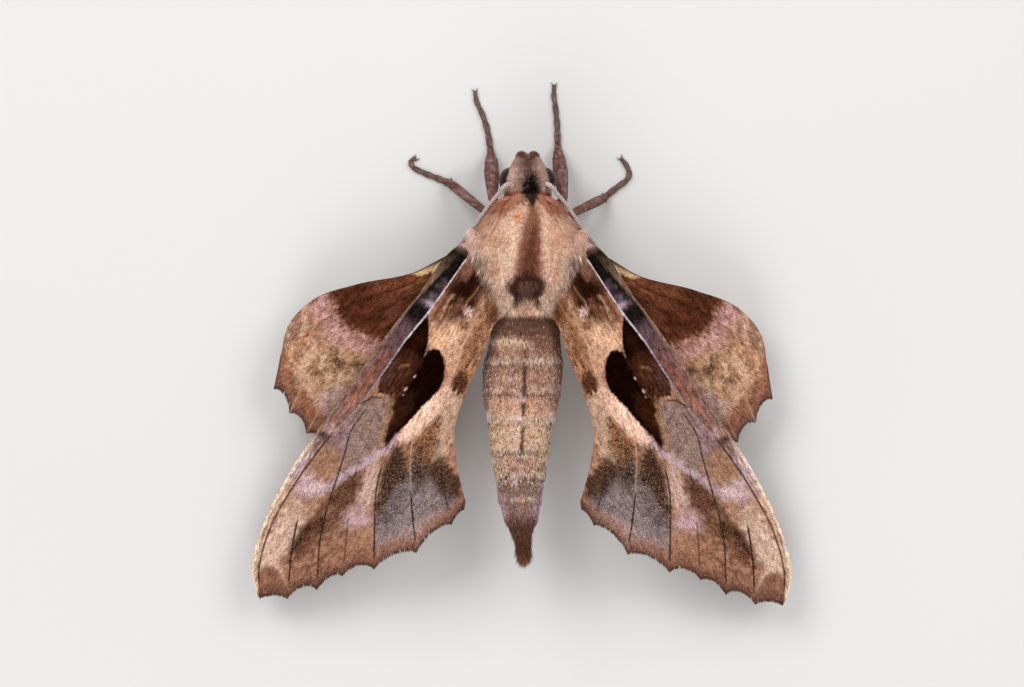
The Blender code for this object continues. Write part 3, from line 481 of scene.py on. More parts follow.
skin_finish = coat_finish("body_skin_scales", 0.85, contrast=0.6)
ring_places = NOSE_Y + (TAIL_Y - NOSE_Y) * np.linspace(0.0004, 0.9996, SKIN_RINGS)
ring_angles = np.arange(SKIN_SIDES) * 2 * math.pi / SKIN_SIDES
skin_rings = body_point(ring_places[:, None], ring_angles[None, :])
skin_points, skin_faces = closed_rings(skin_rings)
# Painted shade: the skin shows only in the gaps of the coat, so its markings are darkened by this factor.
SKIN_PAINTED_SHADE = 0.88
skin_colours = body_colour(*skin_points.T) * SKIN_PAINTED_SHADE
skin = make_piece("body_skin", skin_points, skin_faces, skin_finish, skin_colours)
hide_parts("head", "thorax", "abdomen")

# Coat of the head and body: hair scales combed to the rear from the nape and forward over the brow, flat
# scales on the abdomen with a fringe on each segment, and long tufts over the wing roots, waist and tail.
BLADE_CORNERS = ((-0.5, 0.0), (0.5, 0.0), (0.0, 0.45))
BLADE_FACES = (((0, 2, 1), (3, 4, 6), (4, 5, 6), (5, 3, 6)), ((0, 1, 4, 3), (1, 2, 5, 4), (2, 0, 3, 5)))
BLADE_PATCH = np.array(((-0.0012, 0.0), (0.0012, 0.0), (0.0, 0.0004), (-0.001, 0.0014), (0.001, 0.0014),
                        (0.0, 0.0018), (0.0, 0.003)))
# Place along the blade and width share of both corner rows, and colour factors of its seven points: painted root shade.
BLADE_ROWS = ((0.0, 1.0), (0.5, 0.85))
BLADE_PAINTED_SHADE = (0.9, 0.9, 0.9, 1.0, 1.0, 1.0, 1.14)
BAKE_EDGE, BAKE_SPAN = 0.01, 0.97
TUFTS_A_PIECE = 19600
COAT_GAIN = 1.36
# Gold hair among the brown of the thorax: centre, radii, share of the hair.
GOLD_HAIR = (((4.4, -9.6), (0.8, 1.7), 0.35), ((4.6, -12.2), (0.5, 1.2), 0.3), ((-5.0, -5.2), (1.0, 1.4), 0.35),
             ((3.1, -5.4), (0.5, 1.6), 0.3), ((-5.6, -9.4), (0.4, 1.4), 0.2))
GOLD_SCALE_AND_GLINT, DARK_SCALE, PALE_SCALE_AND_GLINT = (0.95, 0.76, 0.44), (0.085, 0.04, 0.026), (0.74, 0.58, 0.53)


def bake_place(across, along):
    """Places 0 to 1 across and along a skin, brought just inside the square of its bake map."""
    return BAKE_EDGE + BAKE_SPAN * np.stack([across, along], axis=1)


def grow_tufts(name, roots, outward, heading, length, width, lift, curl, tint, unwrap, finish, slot):
    """A coat piece of closed three-sided blades, seven points each: three at the root, three halfway, a tip.

    A blade's spine is root + heading L t + outward L (lift t - curl t^2), and its colour goes from a shaded
    root to a full tip. On the bake map it is a small patch at its root's own place.
    """
    heading = unit(heading - outward * np.sum(heading * outward, axis=1, keepdims=True))
    across = np.cross(outward, heading)
    length, width = length[:, None], width[:, None]
    lift, curl = np.broadcast_to(lift, len(roots))[:, None], np.broadcast_to(curl, len(roots))[:, None]
    rows = []
    for place, wide in BLADE_ROWS:
        spine = roots + heading * length * place + outward * length * (lift * place - curl * place**2)
        for side, rise in BLADE_CORNERS:
            rows.append(spine + across * width * wide * side + outward * width * wide * rise)
    rows.append(roots + heading * length + outward * length * (lift - curl))
    points = np.stack(rows, axis=1).reshape(-1, 3)
    first = (np.arange(len(roots)) * 7)[:, None, None]
    faces = [(first + np.array(kind)[None]).reshape(-1, len(kind[0])) for kind in BLADE_FACES]
    colour = (tint[:, None, :] * np.array(BLADE_PAINTED_SHADE)[None, :, None]).reshape(-1, 3)
    patches = (unwrap[:, None, :] + BLADE_PATCH[None]).reshape(-1, 2)
    return make_piece(name, points, faces, finish, colour, unwrap=patches)


def tuft_forms(draw, y, side, upper):
    """Headings, lengths, widths, lifts and curls of the body's tufts, all read off their places.

    Hair lies to the rear behind the nape and turns forward over the brow; it is longer on waist, tegulae and
    segment edges, short on the flanks, and stands up on the ruff, the cheeks and the tail.
    """
    count = len(y)
    share = segment_share(y)
    turn = math.pi * ramp(-y, 18.1, 19.6) * (1 - 0.25 * np.abs(side))
    turn = turn + draw.normal(0, 0.12, count) + np.where(y > -3, draw.normal(0, 0.22, count), 0.0)
    fan = np.sign(side + 1e-6) * np.sin(turn) + 0.28 * side * ramp(-y, 4, 8)
    heading = np.stack([fan, np.cos(turn), -0.15 * (upper < 0)], axis=1)
    length = np.interp(y, (-21.5, -20, -18, -16.5, -14, -9, -5, -3, 0, 10, 20, 22, 25, 26.4),
                       (1.35, 0.9, 0.65, 0.65, 0.75, 0.85, 1.05, 0.75, 0.52, 0.46, 0.5, 1.1, 1.2, 0.9))
    width = np.interp(y, (-21.5, -18, -14, -5, 0, 20, 23), (0.075, 0.075, 0.085, 0.095, 0.11, 0.11, 0.1))
    waist = (y > -7.6) & (y < -4.6) & (upper > 0.55)
    length = np.where(waist, length * draw.uniform(1.1, 1.75, count), length)
    tegula = (y > -11.5) & (y < -7.2) & (upper > 0.5) & (np.abs(side) > 0.45)
    length = np.where(tegula, length * 1.45, length)
    heading[:, 0] += np.where(tegula, np.sign(side) * 0.25, 0.0)
    fringe = (share > 0.72) & (y > 0.5) & (y < 22)
    length = np.where(fringe, length * 1.35, length)
    flank = fringe & (np.abs(upper) < 0.42)
    length = np.where(flank, 0.7, length)
    heading[:, 0] += np.where(flank, np.sign(side) * 0.06, 0.0)
    length = length * draw.uniform(0.75, 1.2, count)
    width = width * draw.uniform(0.75, 1.25, count)
    lift = np.where(y > -2.5, 0.26, 0.24) + draw.normal(0, 0.05, count) + np.where(waist | flank, 0.03, 0.0)
    ruff = (y < -13.2) & (y > -17.6) & (upper < 0.75)
    cheek = (y < -18.3) & (y > -20.9) & (upper < 0.8)
    lift = np.where(ruff, 0.6, np.where(cheek, 0.55, lift))
    length = np.where(ruff, 1.3, np.where(cheek, 1.0, length))
    lift = np.where(y > 21.5, np.interp(y, (21.5, 23.5, 26.0), (0.16, 0.48, 0.52)) + draw.normal(0, 0.15, count), lift)
    curl = np.where(y > -2.5, 0.06, 0.13)
    return heading, length, width, lift, curl


def tuft_tints(draw, roots, y, side, upper, heading, length):
    """Colours of the body's tufts, and their lengths again, since gold scales are shorter than their neighbours.

    Each takes the marking under its middle, varied by a normal draw; then shares of them turn gold, dark or pale.
    """
    count = len(y)
    varied = np.where(y > -4.6, draw.normal(1.0, 0.26, count), draw.normal(1.0, 0.13, count))
    tint = body_colour(*(roots + heading * length[:, None] * 0.5).T) * varied[:, None] * COAT_GAIN
    # On the abdomen the gold share is partly gold scale colour and partly painted glints of single flat scales.
    gold = np.interp(y, (-3.5, -3, 3, 8, 10.5, 17.0, 18.2, 22), (0.0, 0.02, 0.05, 0.14, 0.33, 0.33, 0.07, 0.0))
    gold = gold * np.where(upper > 0.1, 0.25 + blot(np.abs(side), y * 0, (0.7, 0), (0.32, 1.0), 0.5), 0.2)
    for place, radii, level in GOLD_HAIR:
        gold = np.maximum(gold, level * blot(roots[:, 0], y, place, radii, 0.6) * (upper > 0))
    on_line = stroke(roots[:, 0], y, ((-0.4, 2.6), (-0.3, 8.9), (-0.1, 13.4)), 0.5, 0.1) > 0.5
    gold = np.where(on_line, 0.0, gold)
    chance = draw.random(count)
    length = np.where(chance < gold, length * 0.72, length)
    tint = np.where((chance < gold)[:, None], np.array(GOLD_SCALE_AND_GLINT) * draw.uniform(0.7, 1.15, count)[:, None], tint)
    tint = np.where((chance > 1 - 0.2 * gold - 0.05 * (y > -3))[:, None], np.array(DARK_SCALE), tint)
    # Pale scales on the abdomen: partly pale scale colour, partly painted glints of single scales.
    pale = (chance > 0.6) & (chance < 0.6 + 0.1 * (y > 0.5) * (y < 17) * ~on_line)
    tint = np.where(pale[:, None], np.array(PALE_SCALE_AND_GLINT), tint)
    return np.clip(tint, 0, 1), length


def body_coat(name, count, ends, seed, slot, finish):
    """Tufts rooted all round the skin between two places along Y, as evenly as its girth allows."""
    draw = np.random.default_rng(seed)
    steps = np.linspace(*ends, 400)
    half, top, under, _, _ = body_sizes(steps)
    girth = np.cumsum(half + (top - under) / 2)
    y = np.interp(draw.random(count), girth / girth[-1], steps)
    angle = draw.random(count) * 2 * math.pi
    roots, outward = body_point(y, angle, -0.05), body_outward(y, angle)
    half, _, _, drift, _ = body_sizes(y)
    side = np.clip((roots[:, 0] - MIDLINE - drift) / half, -1, 1)
    upper = np.sin(angle)
    heading, length, width, lift, curl = tuft_forms(draw, y, side, upper)
    tint, length = tuft_tints(draw, roots, y, side, upper, heading, length)
    unwrap = bake_place(angle / (2 * math.pi), (y - NOSE_Y) / (TAIL_Y - NOSE_Y))
    return grow_tufts(name, roots, outward, heading, length, width, lift, curl, tint, unwrap, finish, slot)


hair_finish = coat_finish("hair_scales", 0.72, cells=14000.0, contrast=0.25, gold=0.0, bump=0.1)
flat_finish = coat_finish("flat_scales", 0.6, cells=14000.0, contrast=0.25, gold=0.0, bump=0.1,
                          specular=0.2)
body_coat("coat_head", 12000, (-21.4, -17.2), 11, "head_coat", hair_finish)
body_coat("coat_thorax_front", TUFTS_A_PIECE, (-17.6, -10.2), 12, "thorax_coat", hair_finish)
body_coat("coat_thorax_rear", TUFTS_A_PIECE, (-10.6, -3.4), 13, "thorax_coat", hair_finish)
body_coat("coat_abdomen_front", 18600, (-3.8, 9.0), 14, "abdomen_coat", flat_finish)
body_coat("coat_abdomen_rear", 18600, (8.6, 26.1), 15, "abdomen_coat", flat_finish)

# Eyes: glossy dark compound eyes, a ball of fine facets each, set deep in the head beside the brow, so that
# only an outer dome shows between the hair of the brow and the cheek.
HEAD_MIDLINE = -0.8
EYE_PLACE, EYE_RADIUS = (1.87, -19.36, 8.9), 1.6
EYE_ROWS, EYE_SIDES = 44, 72
SIDES = {"left": 1, "right": -1}


def ball_rings(centre, radius, rows, sides):
    """Rings of a sphere about an axis across the body, from pole to pole."""
    polar = np.linspace(0.001, math.pi - 0.001, rows)[:, None]
    turn = (np.arange(sides) * 2 * math.pi / sides)[None, :]
    return np.stack([centre[0] + radius * np.cos(polar) + 0 * turn, centre[1] + radius * np.sin(polar) * np.cos(turn),
                     centre[2] + radius * np.sin(polar) * np.sin(turn)], axis=-1)


def eye_gloss():
    """Dark brown gloss with a mosaic of facets about 0.04 mm across and a soft darker centre."""
    material, tree, shader = new_finish("eye_gloss_facets", 0.22, 0.2)
    place = node(tree, "ShaderNodeTexCoord", {}).outputs["Object"]
    facets = node(tree, "ShaderNodeTexVoronoi", {"Scale": 22000.0, "Vector": place})
    relief = node(tree, "ShaderNodeBump", {"Strength": 0.25, "Distance": 0.00001, "Height": facets.outputs["Distance"]},
                  invert=True)
    tree.links.new(relief.outputs["Normal"], shader.inputs["Normal"])
    paint = node(tree, "ShaderNodeAttribute", {}, attribute_name="coat")
    tree.links.new(paint.outputs["Color"], shader.inputs["Base Color"])
    return material


facet_finish = eye_gloss()
for word, side in SIDES.items():
    centre = (HEAD_MIDLINE + side * EYE_PLACE[0], EYE_PLACE[1], EYE_PLACE[2])
    points, faces = closed_rings(ball_rings(centre, EYE_RADIUS, EYE_ROWS, EYE_SIDES))
    spread = points - np.array(centre)
    pupil = ramp(side * spread[:, 0] / EYE_RADIUS, 0.2, 0.9)[:, None]
    colour = np.array((0.04, 0.014, 0.008)) * (1 - pupil) + np.array((0.009, 0.004, 0.003)) * pupil
    eye = make_piece(f"eye_{word}_facets", points, faces, facet_finish, colour)
    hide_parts(f"eye_{word}")

# Palps: two blunt scaled feelers that curve up in front of the brow, and antennae: stiff ringed rods with
# whitish scales above and bare brown comb sides, laid back over the shoulders and under the wings.
PALP_PATH = ((0.8, -19.0, 6.5), (0.84, -20.4, 6.1), (0.8, -21.7, 6.7), (0.74, -22.15, 8.0), (0.6, -22.15, 9.2),
             (0.52, -22.0, 9.9))
PALP_RADII = (0.4, 0.58, 0.64, 0.6, 0.47, 0.26)
ANTENNA_PATH = ((2.0, -18.9, 10.9), (2.75, -18.6, 11.6), (3.45, -17.75, 11.3), (4.55, -16.45, 10.9),
                (5.5, -15.1, 10.6), (6.38, -13.7, 10.2), (7.5, -12.3, 9.2), (8.9, -10.6, 8.0), (10.2, -8.9, 7.3))
ANTENNA_RADII = (0.3, 0.28, 0.26, 0.26, 0.26, 0.26, 0.25, 0.22, 0.1)
ANTENNA_RINGS, RING_ROWS = 48, 6
FEELER_SIDES, PALP_ROWS = 26, 60
BROW_TUFTS, PALP_TUFTS = 5200, 4600


def swept_rings(path, radii, sides, across=(0.0, 0.0, 1.0)):
    """Round rings square to a path; `across` is a direction that the path never follows.

    The first spoke lies along tangent x across, the second completes the right angle.
    """
    tangent = unit(np.gradient(path, axis=0))
    first = unit(np.cross(tangent, across))
    second = np.cross(first, tangent)
    turn = (np.arange(sides) + 0.5) * 2 * math.pi / sides
    spokes = first[:, None] * np.cos(turn)[None, :, None] + second[:, None] * np.sin(turn)[None, :, None]
    return path[:, None] + spokes * np.broadcast_to(radii, (len(path),))[:, None, None]


def mirrored(points, side, midline=MIDLINE):
    """Points given outwards from the midline, placed on one side of the body."""
    points = np.array(points, float)
    points[:, 0] = midline + side * points[:, 0]
    return points


def tuft_coat(name, rings, count, seed, length, width, tint_of, slot, finish, lift=0.2, zone=(0.02, 0.98),
              keep=None):
    """Short tufts over a limb given as rings, lying along it towards its end."""
    draw = np.random.default_rng(seed)
    rows, sides = rings.shape[:2]
    row = zone[0] * (rows - 1) + draw.random(count) * (zone[1] - zone[0]) * (rows - 1.001)
    turn = draw.random(count) * sides
    low, a = np.floor(row).astype(int), np.floor(turn).astype(int) % sides
    t, s = (row - low)[:, None], (turn - np.floor(turn))[:, None]
    b = (a + 1) % sides
    start = rings[low, a] * (1 - s) + rings[low, b] * s
    end = rings[low + 1, a] * (1 - s) + rings[low + 1, b] * s
    roots = start * (1 - t) + end * t
    axis = rings.mean(axis=1)
    outward = roots - (axis[low] * (1 - t) + axis[low + 1] * t)
    heading = axis[np.minimum(low + 2, rows - 1)] - axis[np.maximum(low - 1, 0)]
    outward -= heading * (np.sum(outward * heading, axis=1) / (np.sum(heading**2, axis=1) + 1e-9))[:, None]
    outward = unit(outward)
    tint = tint_of(roots, row / rows) * draw.normal(1.0, 0.16, count)[:, None]
    unwrap = bake_place(turn / sides, row / rows)
    picked = np.ones(count, bool) if keep is None else keep(roots, outward)
    lengths, widths = length * draw.uniform(0.7, 1.3, count), width * draw.uniform(0.8, 1.2, count)
    parts = [values[picked] for values in (roots - outward * 0.03, outward, heading, lengths, widths)]
    return grow_tufts(name, *parts, lift, lift * 0.4, np.clip(tint[picked], 0, 1), unwrap[picked], finish, slot)


def palp_colour(points, share):
    """Red-brown scales, greyer below and redder at the tip, with soft mottling."""
    mottle = cloud(points[:, 1] + points[:, 0], points[:, 2], 0.4, 21)
    colour = plain((0.46, 0.29, 0.235), points[:, 0])
    colour = lay(colour, ramp(share, 0.72, 0.98) * 0.8, (0.42, 0.18, 0.11))
    return lay(colour, ramp(mottle, 0.4, 0.8) * 0.7, (0.3, 0.165, 0.125))


def palp(word, side):
    """One palp: a tube along its curve, 0.12 thinner than the solid, rounded at its tip, under short tufts."""
    places = np.linspace(0, 1, PALP_ROWS)
    path = along_curve(mirrored(PALP_PATH, side, HEAD_MIDLINE), places)
    radii = np.interp(places, np.linspace(0, 1, len(PALP_RADII)), PALP_RADII) - 0.12
    radii = radii * np.sqrt(np.clip(1 - np.clip((places - 0.93) / 0.07, 0, 1) ** 2, 0.02, 1))
    rings = swept_rings(path, radii, FEELER_SIDES, (1.0, 0.0, 0.0))
    points, faces = closed_rings(rings)
    share = np.concatenate([np.repeat(places, FEELER_SIDES), [0, 1]])
    # Painted shade: the palp's skin shows only between its tufts and is darkened to 0.7 of their colours.
    colour = palp_colour(points, share) * 0.7
    skin_tube = make_piece(f"palp_{word}_skin", points, faces, skin_finish, colour)
    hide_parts(f"palp_{word}")
    tuft_coat(f"coat_palp_{word}", rings, PALP_TUFTS, 31 + side, 0.85, 0.08, palp_colour, "palp_coat", hair_finish,
              0.42)


def antenna(word, side):
    """One antenna: a tube whose radius swells over each ring by a sine and closes in at the tip."""
    places = np.linspace(0, 1, ANTENNA_RINGS * RING_ROWS)
    path = along_curve(mirrored(ANTENNA_PATH, side, HEAD_MIDLINE), places)
    step = np.arange(len(places)) % RING_ROWS / RING_ROWS
    radii = np.interp(places, np.linspace(0, 1, len(ANTENNA_RADII)), ANTENNA_RADII)
    radii = radii * (0.8 + 0.22 * np.sin(math.pi * np.clip(step * 1.1, 0, 1)))
    radii[-3:] *= (0.8, 0.5, 0.15)
    rings = swept_rings(path, radii, FEELER_SIDES)
    points, faces = closed_rings(rings)
    groove = np.repeat(step < 0.3, FEELER_SIDES)
    spoke = (rings - path[:, None])[..., 2].ravel() / np.repeat(np.maximum(radii, 0.02), FEELER_SIDES)
    colour = plain((0.6, 0.5, 0.47), spoke)
    colour = lay(colour, groove * 0.75, (0.15, 0.085, 0.065))
    colour = lay(colour, 1 - ramp(spoke, -0.35, 0.05), (0.2, 0.085, 0.045))
    colour = np.concatenate([colour, colour[:1], colour[-1:]])
    ringed = make_piece(f"antenna_{word}_rings", points, faces, antenna_finish, colour)
    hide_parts(f"antenna_{word}")


antenna_finish = coat_finish("antenna_ring_scales", 0.55, cells=16000.0, contrast=0.3, gold=0.0, bump=0.15)
for word, side in SIDES.items():
    palp(word, side)
    antenna(word, side)


def brow_hair():
    """Hair that stands forward from the brow over the palps, longest at the tip of the head."""
    draw = np.random.default_rng(17)
    y = draw.uniform(-21.42, -20.2, BROW_TUFTS)
    angle = draw.uniform(-0.9, math.pi + 0.9, BROW_TUFTS)
    roots = body_point(y, angle, -0.04)
    lean = (roots[:, 0] - HEAD_MIDLINE) / 2
    heading = np.stack([-0.22 * lean, -1.0 + 0 * lean, -0.22 - 0.35 * np.abs(lean)], axis=1)
    heading += draw.normal(0, 0.06, heading.shape)
    upward = unit(np.stack([0.45 * lean, -0.1 + 0 * lean, 1.0 + 0 * lean], axis=1))
    length = np.interp(y, (-21.4, -20.2), (1.25, 0.9)) * draw.uniform(0.75, 1.15, BROW_TUFTS)
    middle = roots + heading * length[:, None] * 0.55
    varied = draw.normal(1.0, 0.16, BROW_TUFTS)[:, None]
    tint = body_colour(middle[:, 0], middle[:, 1], roots[:, 2]) * COAT_GAIN * varied
    unwrap = bake_place(angle / (2 * math.pi) % 1, (y - NOSE_Y) / (TAIL_Y - NOSE_Y))
    grow_tufts("coat_brow", roots, upward, heading, length, np.full(BROW_TUFTS, 0.085), 0.16, 0.16, np.clip(tint, 0, 1),
               unwrap, hair_finish, "head_coat")


brow_hair()

# Wings: thin scaled membranes stretched between raised veins, forewings roofed back over the hindwings, which
# show in front of them. Each lies in its own plan: u from the shoulder to the apex, v towards the body.
SHOULDER = {"forewing": (6.36, -12.4), "hindwing": (6.11, -11.44)}
SWEEP = {("forewing", "left"): 31.15, ("forewing", "right"): 29.35, ("hindwing", "left"): 55.5,
         ("hindwing", "right"): 52.6}
ROOF_HEIGHT, ROOF_SLOPE, REAR_DROOP, DROOP_LENGTH = 12.3, 0.25, 1.5, 44.0
HINDWING_DROP = 1.35
MEMBRANE = (0.09, 0.05)
VEIN_RISE, VEIN_WIDTH, CELL_SAG = 0.1, 0.15, 0.07
VEIN_FEET = (0.07, 0.17, 0.34)
COSTA_ROLL, RIPPLE = 0.07, (0.05, 0.02)
# The lower face reads its powder of scales 5 mm away from the upper face's, so that the two differ.
UNDERSIDE_SHIFT = (0, 0, 5.0)
# Leading edge, veins from front to rear and inner edge of the forewing, as (u, v) points from root to margin.
FOREWING_LINES = (
    ((-0.9, 2.3), (0.6, -0.2), (10.1, -2.3), (23.1, -3.6), (36.0, -4.5), (43.2, -3.9), (48.4, -2.3),
     (50.1, -0.6)),
    ((-0.7, 2.7), (0.4, 0.95), (2.3, 0.62), (5.0, 0.42), (10.2, 0.0), (15.0, -0.7), (20.0, -1.0), (24.0, -1.3),
     (30.0, -2.6), (36.0, -3.2), (43.2, -2.95), (48.2, -1.4), (50.4, 0.1)),
    ((-0.4, 3.1), (2.6, 1.3), (10.8, 0.8), (18.0, 0.1), (23.5, -0.9), (31.0, -1.5), (36.0, -1.3), (40.0, -0.7),
     (44.0, 0.8), (48.6, 3.0)),
    ((-0.1, 3.5), (2.8, 1.9), (11.0, 1.6), (18.0, 1.0), (23.5, -0.4), (28.0, -0.6), (30.0, 0.0), (35.0, 1.2),
     (40.0, 2.6), (45.8, 5.5)),
    ((0.3, 3.9), (3.0, 2.6), (11.3, 2.6), (20.0, 1.9), (28.0, 1.6), (35.0, 3.8), (42.7, 7.3)),
    ((0.7, 4.4), (3.4, 3.2), (11.5, 3.7), (19.5, 3.3), (26.5, 4.1), (32.0, 5.6), (35.0, 7.2), (40.0, 10.1)),
    ((1.3, 5.0), (4.0, 3.9), (11.5, 4.8), (19.0, 5.0), (24.7, 6.3), (30.6, 9.7), (35.6, 13.4)),
    ((2.0, 5.8), (4.8, 4.9), (11.5, 5.9), (17.5, 6.5), (22.5, 8.4), (26.4, 11.4), (30.5, 15.2)),
    ((3.0, 6.9), (5.8, 6.0), (11.6, 7.0), (17.0, 7.8), (21.5, 9.5), (25.3, 12.2), (28.2, 15.5)),
    ((4.2, 8.1), (7.0, 7.5), (11.6, 8.2), (15.7, 8.7), (20.8, 9.9), (24.4, 12.4), (27.3, 15.2)),
)
FOREWING_SCALLOPS = (0.0, 0.35, 0.9, 0.75, 0.85, 0.75, 0.75, 0.25, 0.0)
FOREWING_ROWS, FOREWING_BETWEEN = 272, 7
# Dark stretches of the forewing's veins: line, first and last u, strength.
DARK_VEINS = ((1, 29.0, 49.5, 0.75), (2, 40.0, 47.3, 0.95), (3, 24.5, 45.2, 0.85), (4, 36.5, 42.0, 0.5),
              (5, 29.0, 39.3, 0.85), (6, 29.8, 35.0, 0.9), (7, 25.6, 29.5, 0.6), (2, 23.6, 31.0, 0.25))


def wing_grid(lines, scallops, rows, between):
    """Plan of a wing on a grid: lines that blend from vein to vein, with rows at equal shares of each.

    Beside each vein run lines at its feet, and between veins the margin is pulled in by its scallop, a sine
    that grows over the last fifth. Gives u and v, each line's vein number (-1 off a vein), and the gap to the
    nearest vein.
    """
    along = np.linspace(0, 1, rows)
    curves = np.array([along_curve(points, along) for points in lines])
    plan, vein, gap, cell = [], [], [], []
    fade = np.clip((along - 0.8) / 0.2, 0, 1) ** 2
    for index in range(len(lines) - 1):
        first, second = curves[index], curves[index + 1]
        spacing = np.linalg.norm(second - first, axis=1)
        feet = [np.minimum(foot / spacing, 0.05 * (k + 1) + 0.02) for k, foot in enumerate(VEIN_FEET)]
        inner = [feet[-1] + (1 - 2 * feet[-1]) * (k + 1) / (between + 1) for k in range(between)]
        steps = [np.zeros(rows), *feet, *inner, *[1 - foot for foot in feet[::-1]]]
        inward = -unit(np.gradient(first + second, axis=0))
        for number, part in enumerate(steps):
            pull = scallops[index] * np.sin(math.pi * part) ** 0.8 * fade
            plan.append(first + (second - first) * part[:, None] + inward * pull[:, None])
            vein.append(np.full(rows, index if number < 2 else (index + 1 if number == len(steps) - 1 else -1)))
            near = np.minimum(part if index else 1.0, (1 - part) if index < len(lines) - 2 else 1.0)
            gap.append(near * spacing)
            cell.append(np.sin(math.pi * part) ** 2 * np.clip(spacing / 2.5, 0, 1))
    plan.append(curves[-1])
    vein.append(np.full(rows, -1))
    gap.append(np.full(rows, 1.0))
    cell.append(np.zeros(rows))
    share = np.broadcast_to(along, (len(plan), rows))
    return np.array(plan), np.array(vein), np.array(gap), np.array(cell), share


def wing_roof(out, y):
    """Height of the forewing's middle surface: a roof that falls outwards and droops to the rear."""
    behind = np.clip((y - SHOULDER["forewing"][1]) / DROOP_LENGTH, 0, None)
    return ROOF_HEIGHT - ROOF_SLOPE * (out - SHOULDER["forewing"][0]) - REAR_DROOP * behind**2


def wing_place(kind, word, u, v):
    """World points of a wing's middle surface at plan places u, v: turned by the sweep about the shoulder."""
    sweep = math.radians(SWEEP[kind, word])
    out = SHOULDER[kind][0] + u * math.sin(sweep) - v * math.cos(sweep)
    y = SHOULDER[kind][1] + u * math.cos(sweep) + v * math.sin(sweep)
    drop = HINDWING_DROP if kind == "hindwing" else 0.0
    return np.stack([MIDLINE + SIDES[word] * out, y, wing_roof(out, y) - drop], axis=-1)


def combed(u, v, seed):
    """Plan places moved by noise that is long across the scales' rows, so that colours end in ragged combs."""
    fine = cloud(u / 2.2, v, 0.16, seed) - 0.5
    broad = cloud(u, v, 0.9, seed + 1) - 0.5
    return u + fine + 0.5 * broad, v + 0.25 * (cloud(u, v * 0.6, 0.5, seed + 2) - 0.5)


def flecks(u, v, stretch, size, seed, low, high):
    """Mask of flecks: smooth noise drawn out along the wing, 0 where it is under low and 1 over high."""
    return ramp(cloud(u / stretch, v, size, seed), low, high)


def along_wing(u, table):
    """Colours read off a table of (u, red, green, blue) rows."""
    table = np.array(table)
    return np.stack([np.interp(u, table[:, 0], table[:, k]) for k in (1, 2, 3)], axis=-1)


def deepen(colour):
    """Wing colours with their darks drawn down: 1.12 times the colour to the power 1.2."""
    return 1.12 * np.clip(colour, 0, 1) ** 1.2


COSTAL_STRIP = (
    (0.5, 0.03, 0.02, 0.018), (2.0, 0.01, 0.007, 0.006), (5.8, 0.014, 0.01, 0.009), (6.8, 0.1, 0.072, 0.085),
    (7.8, 0.022, 0.015, 0.015), (8.6, 0.15, 0.112, 0.135), (9.6, 0.3, 0.23, 0.27), (10.4, 0.02, 0.014, 0.014),
    (11.8, 0.014, 0.01, 0.01), (13.0, 0.14, 0.085, 0.1), (16.0, 0.16, 0.092, 0.09), (18.5, 0.23, 0.1, 0.075),
    (23.0, 0.36, 0.165, 0.11), (27.2, 0.36, 0.2, 0.15), (28.6, 0.4, 0.27, 0.25), (29.6, 0.11, 0.056, 0.044),
    (31.0, 0.33, 0.23, 0.19), (34.0, 0.52, 0.39, 0.39), (38.0, 0.5, 0.34, 0.25), (50.5, 0.5, 0.34, 0.25),
)


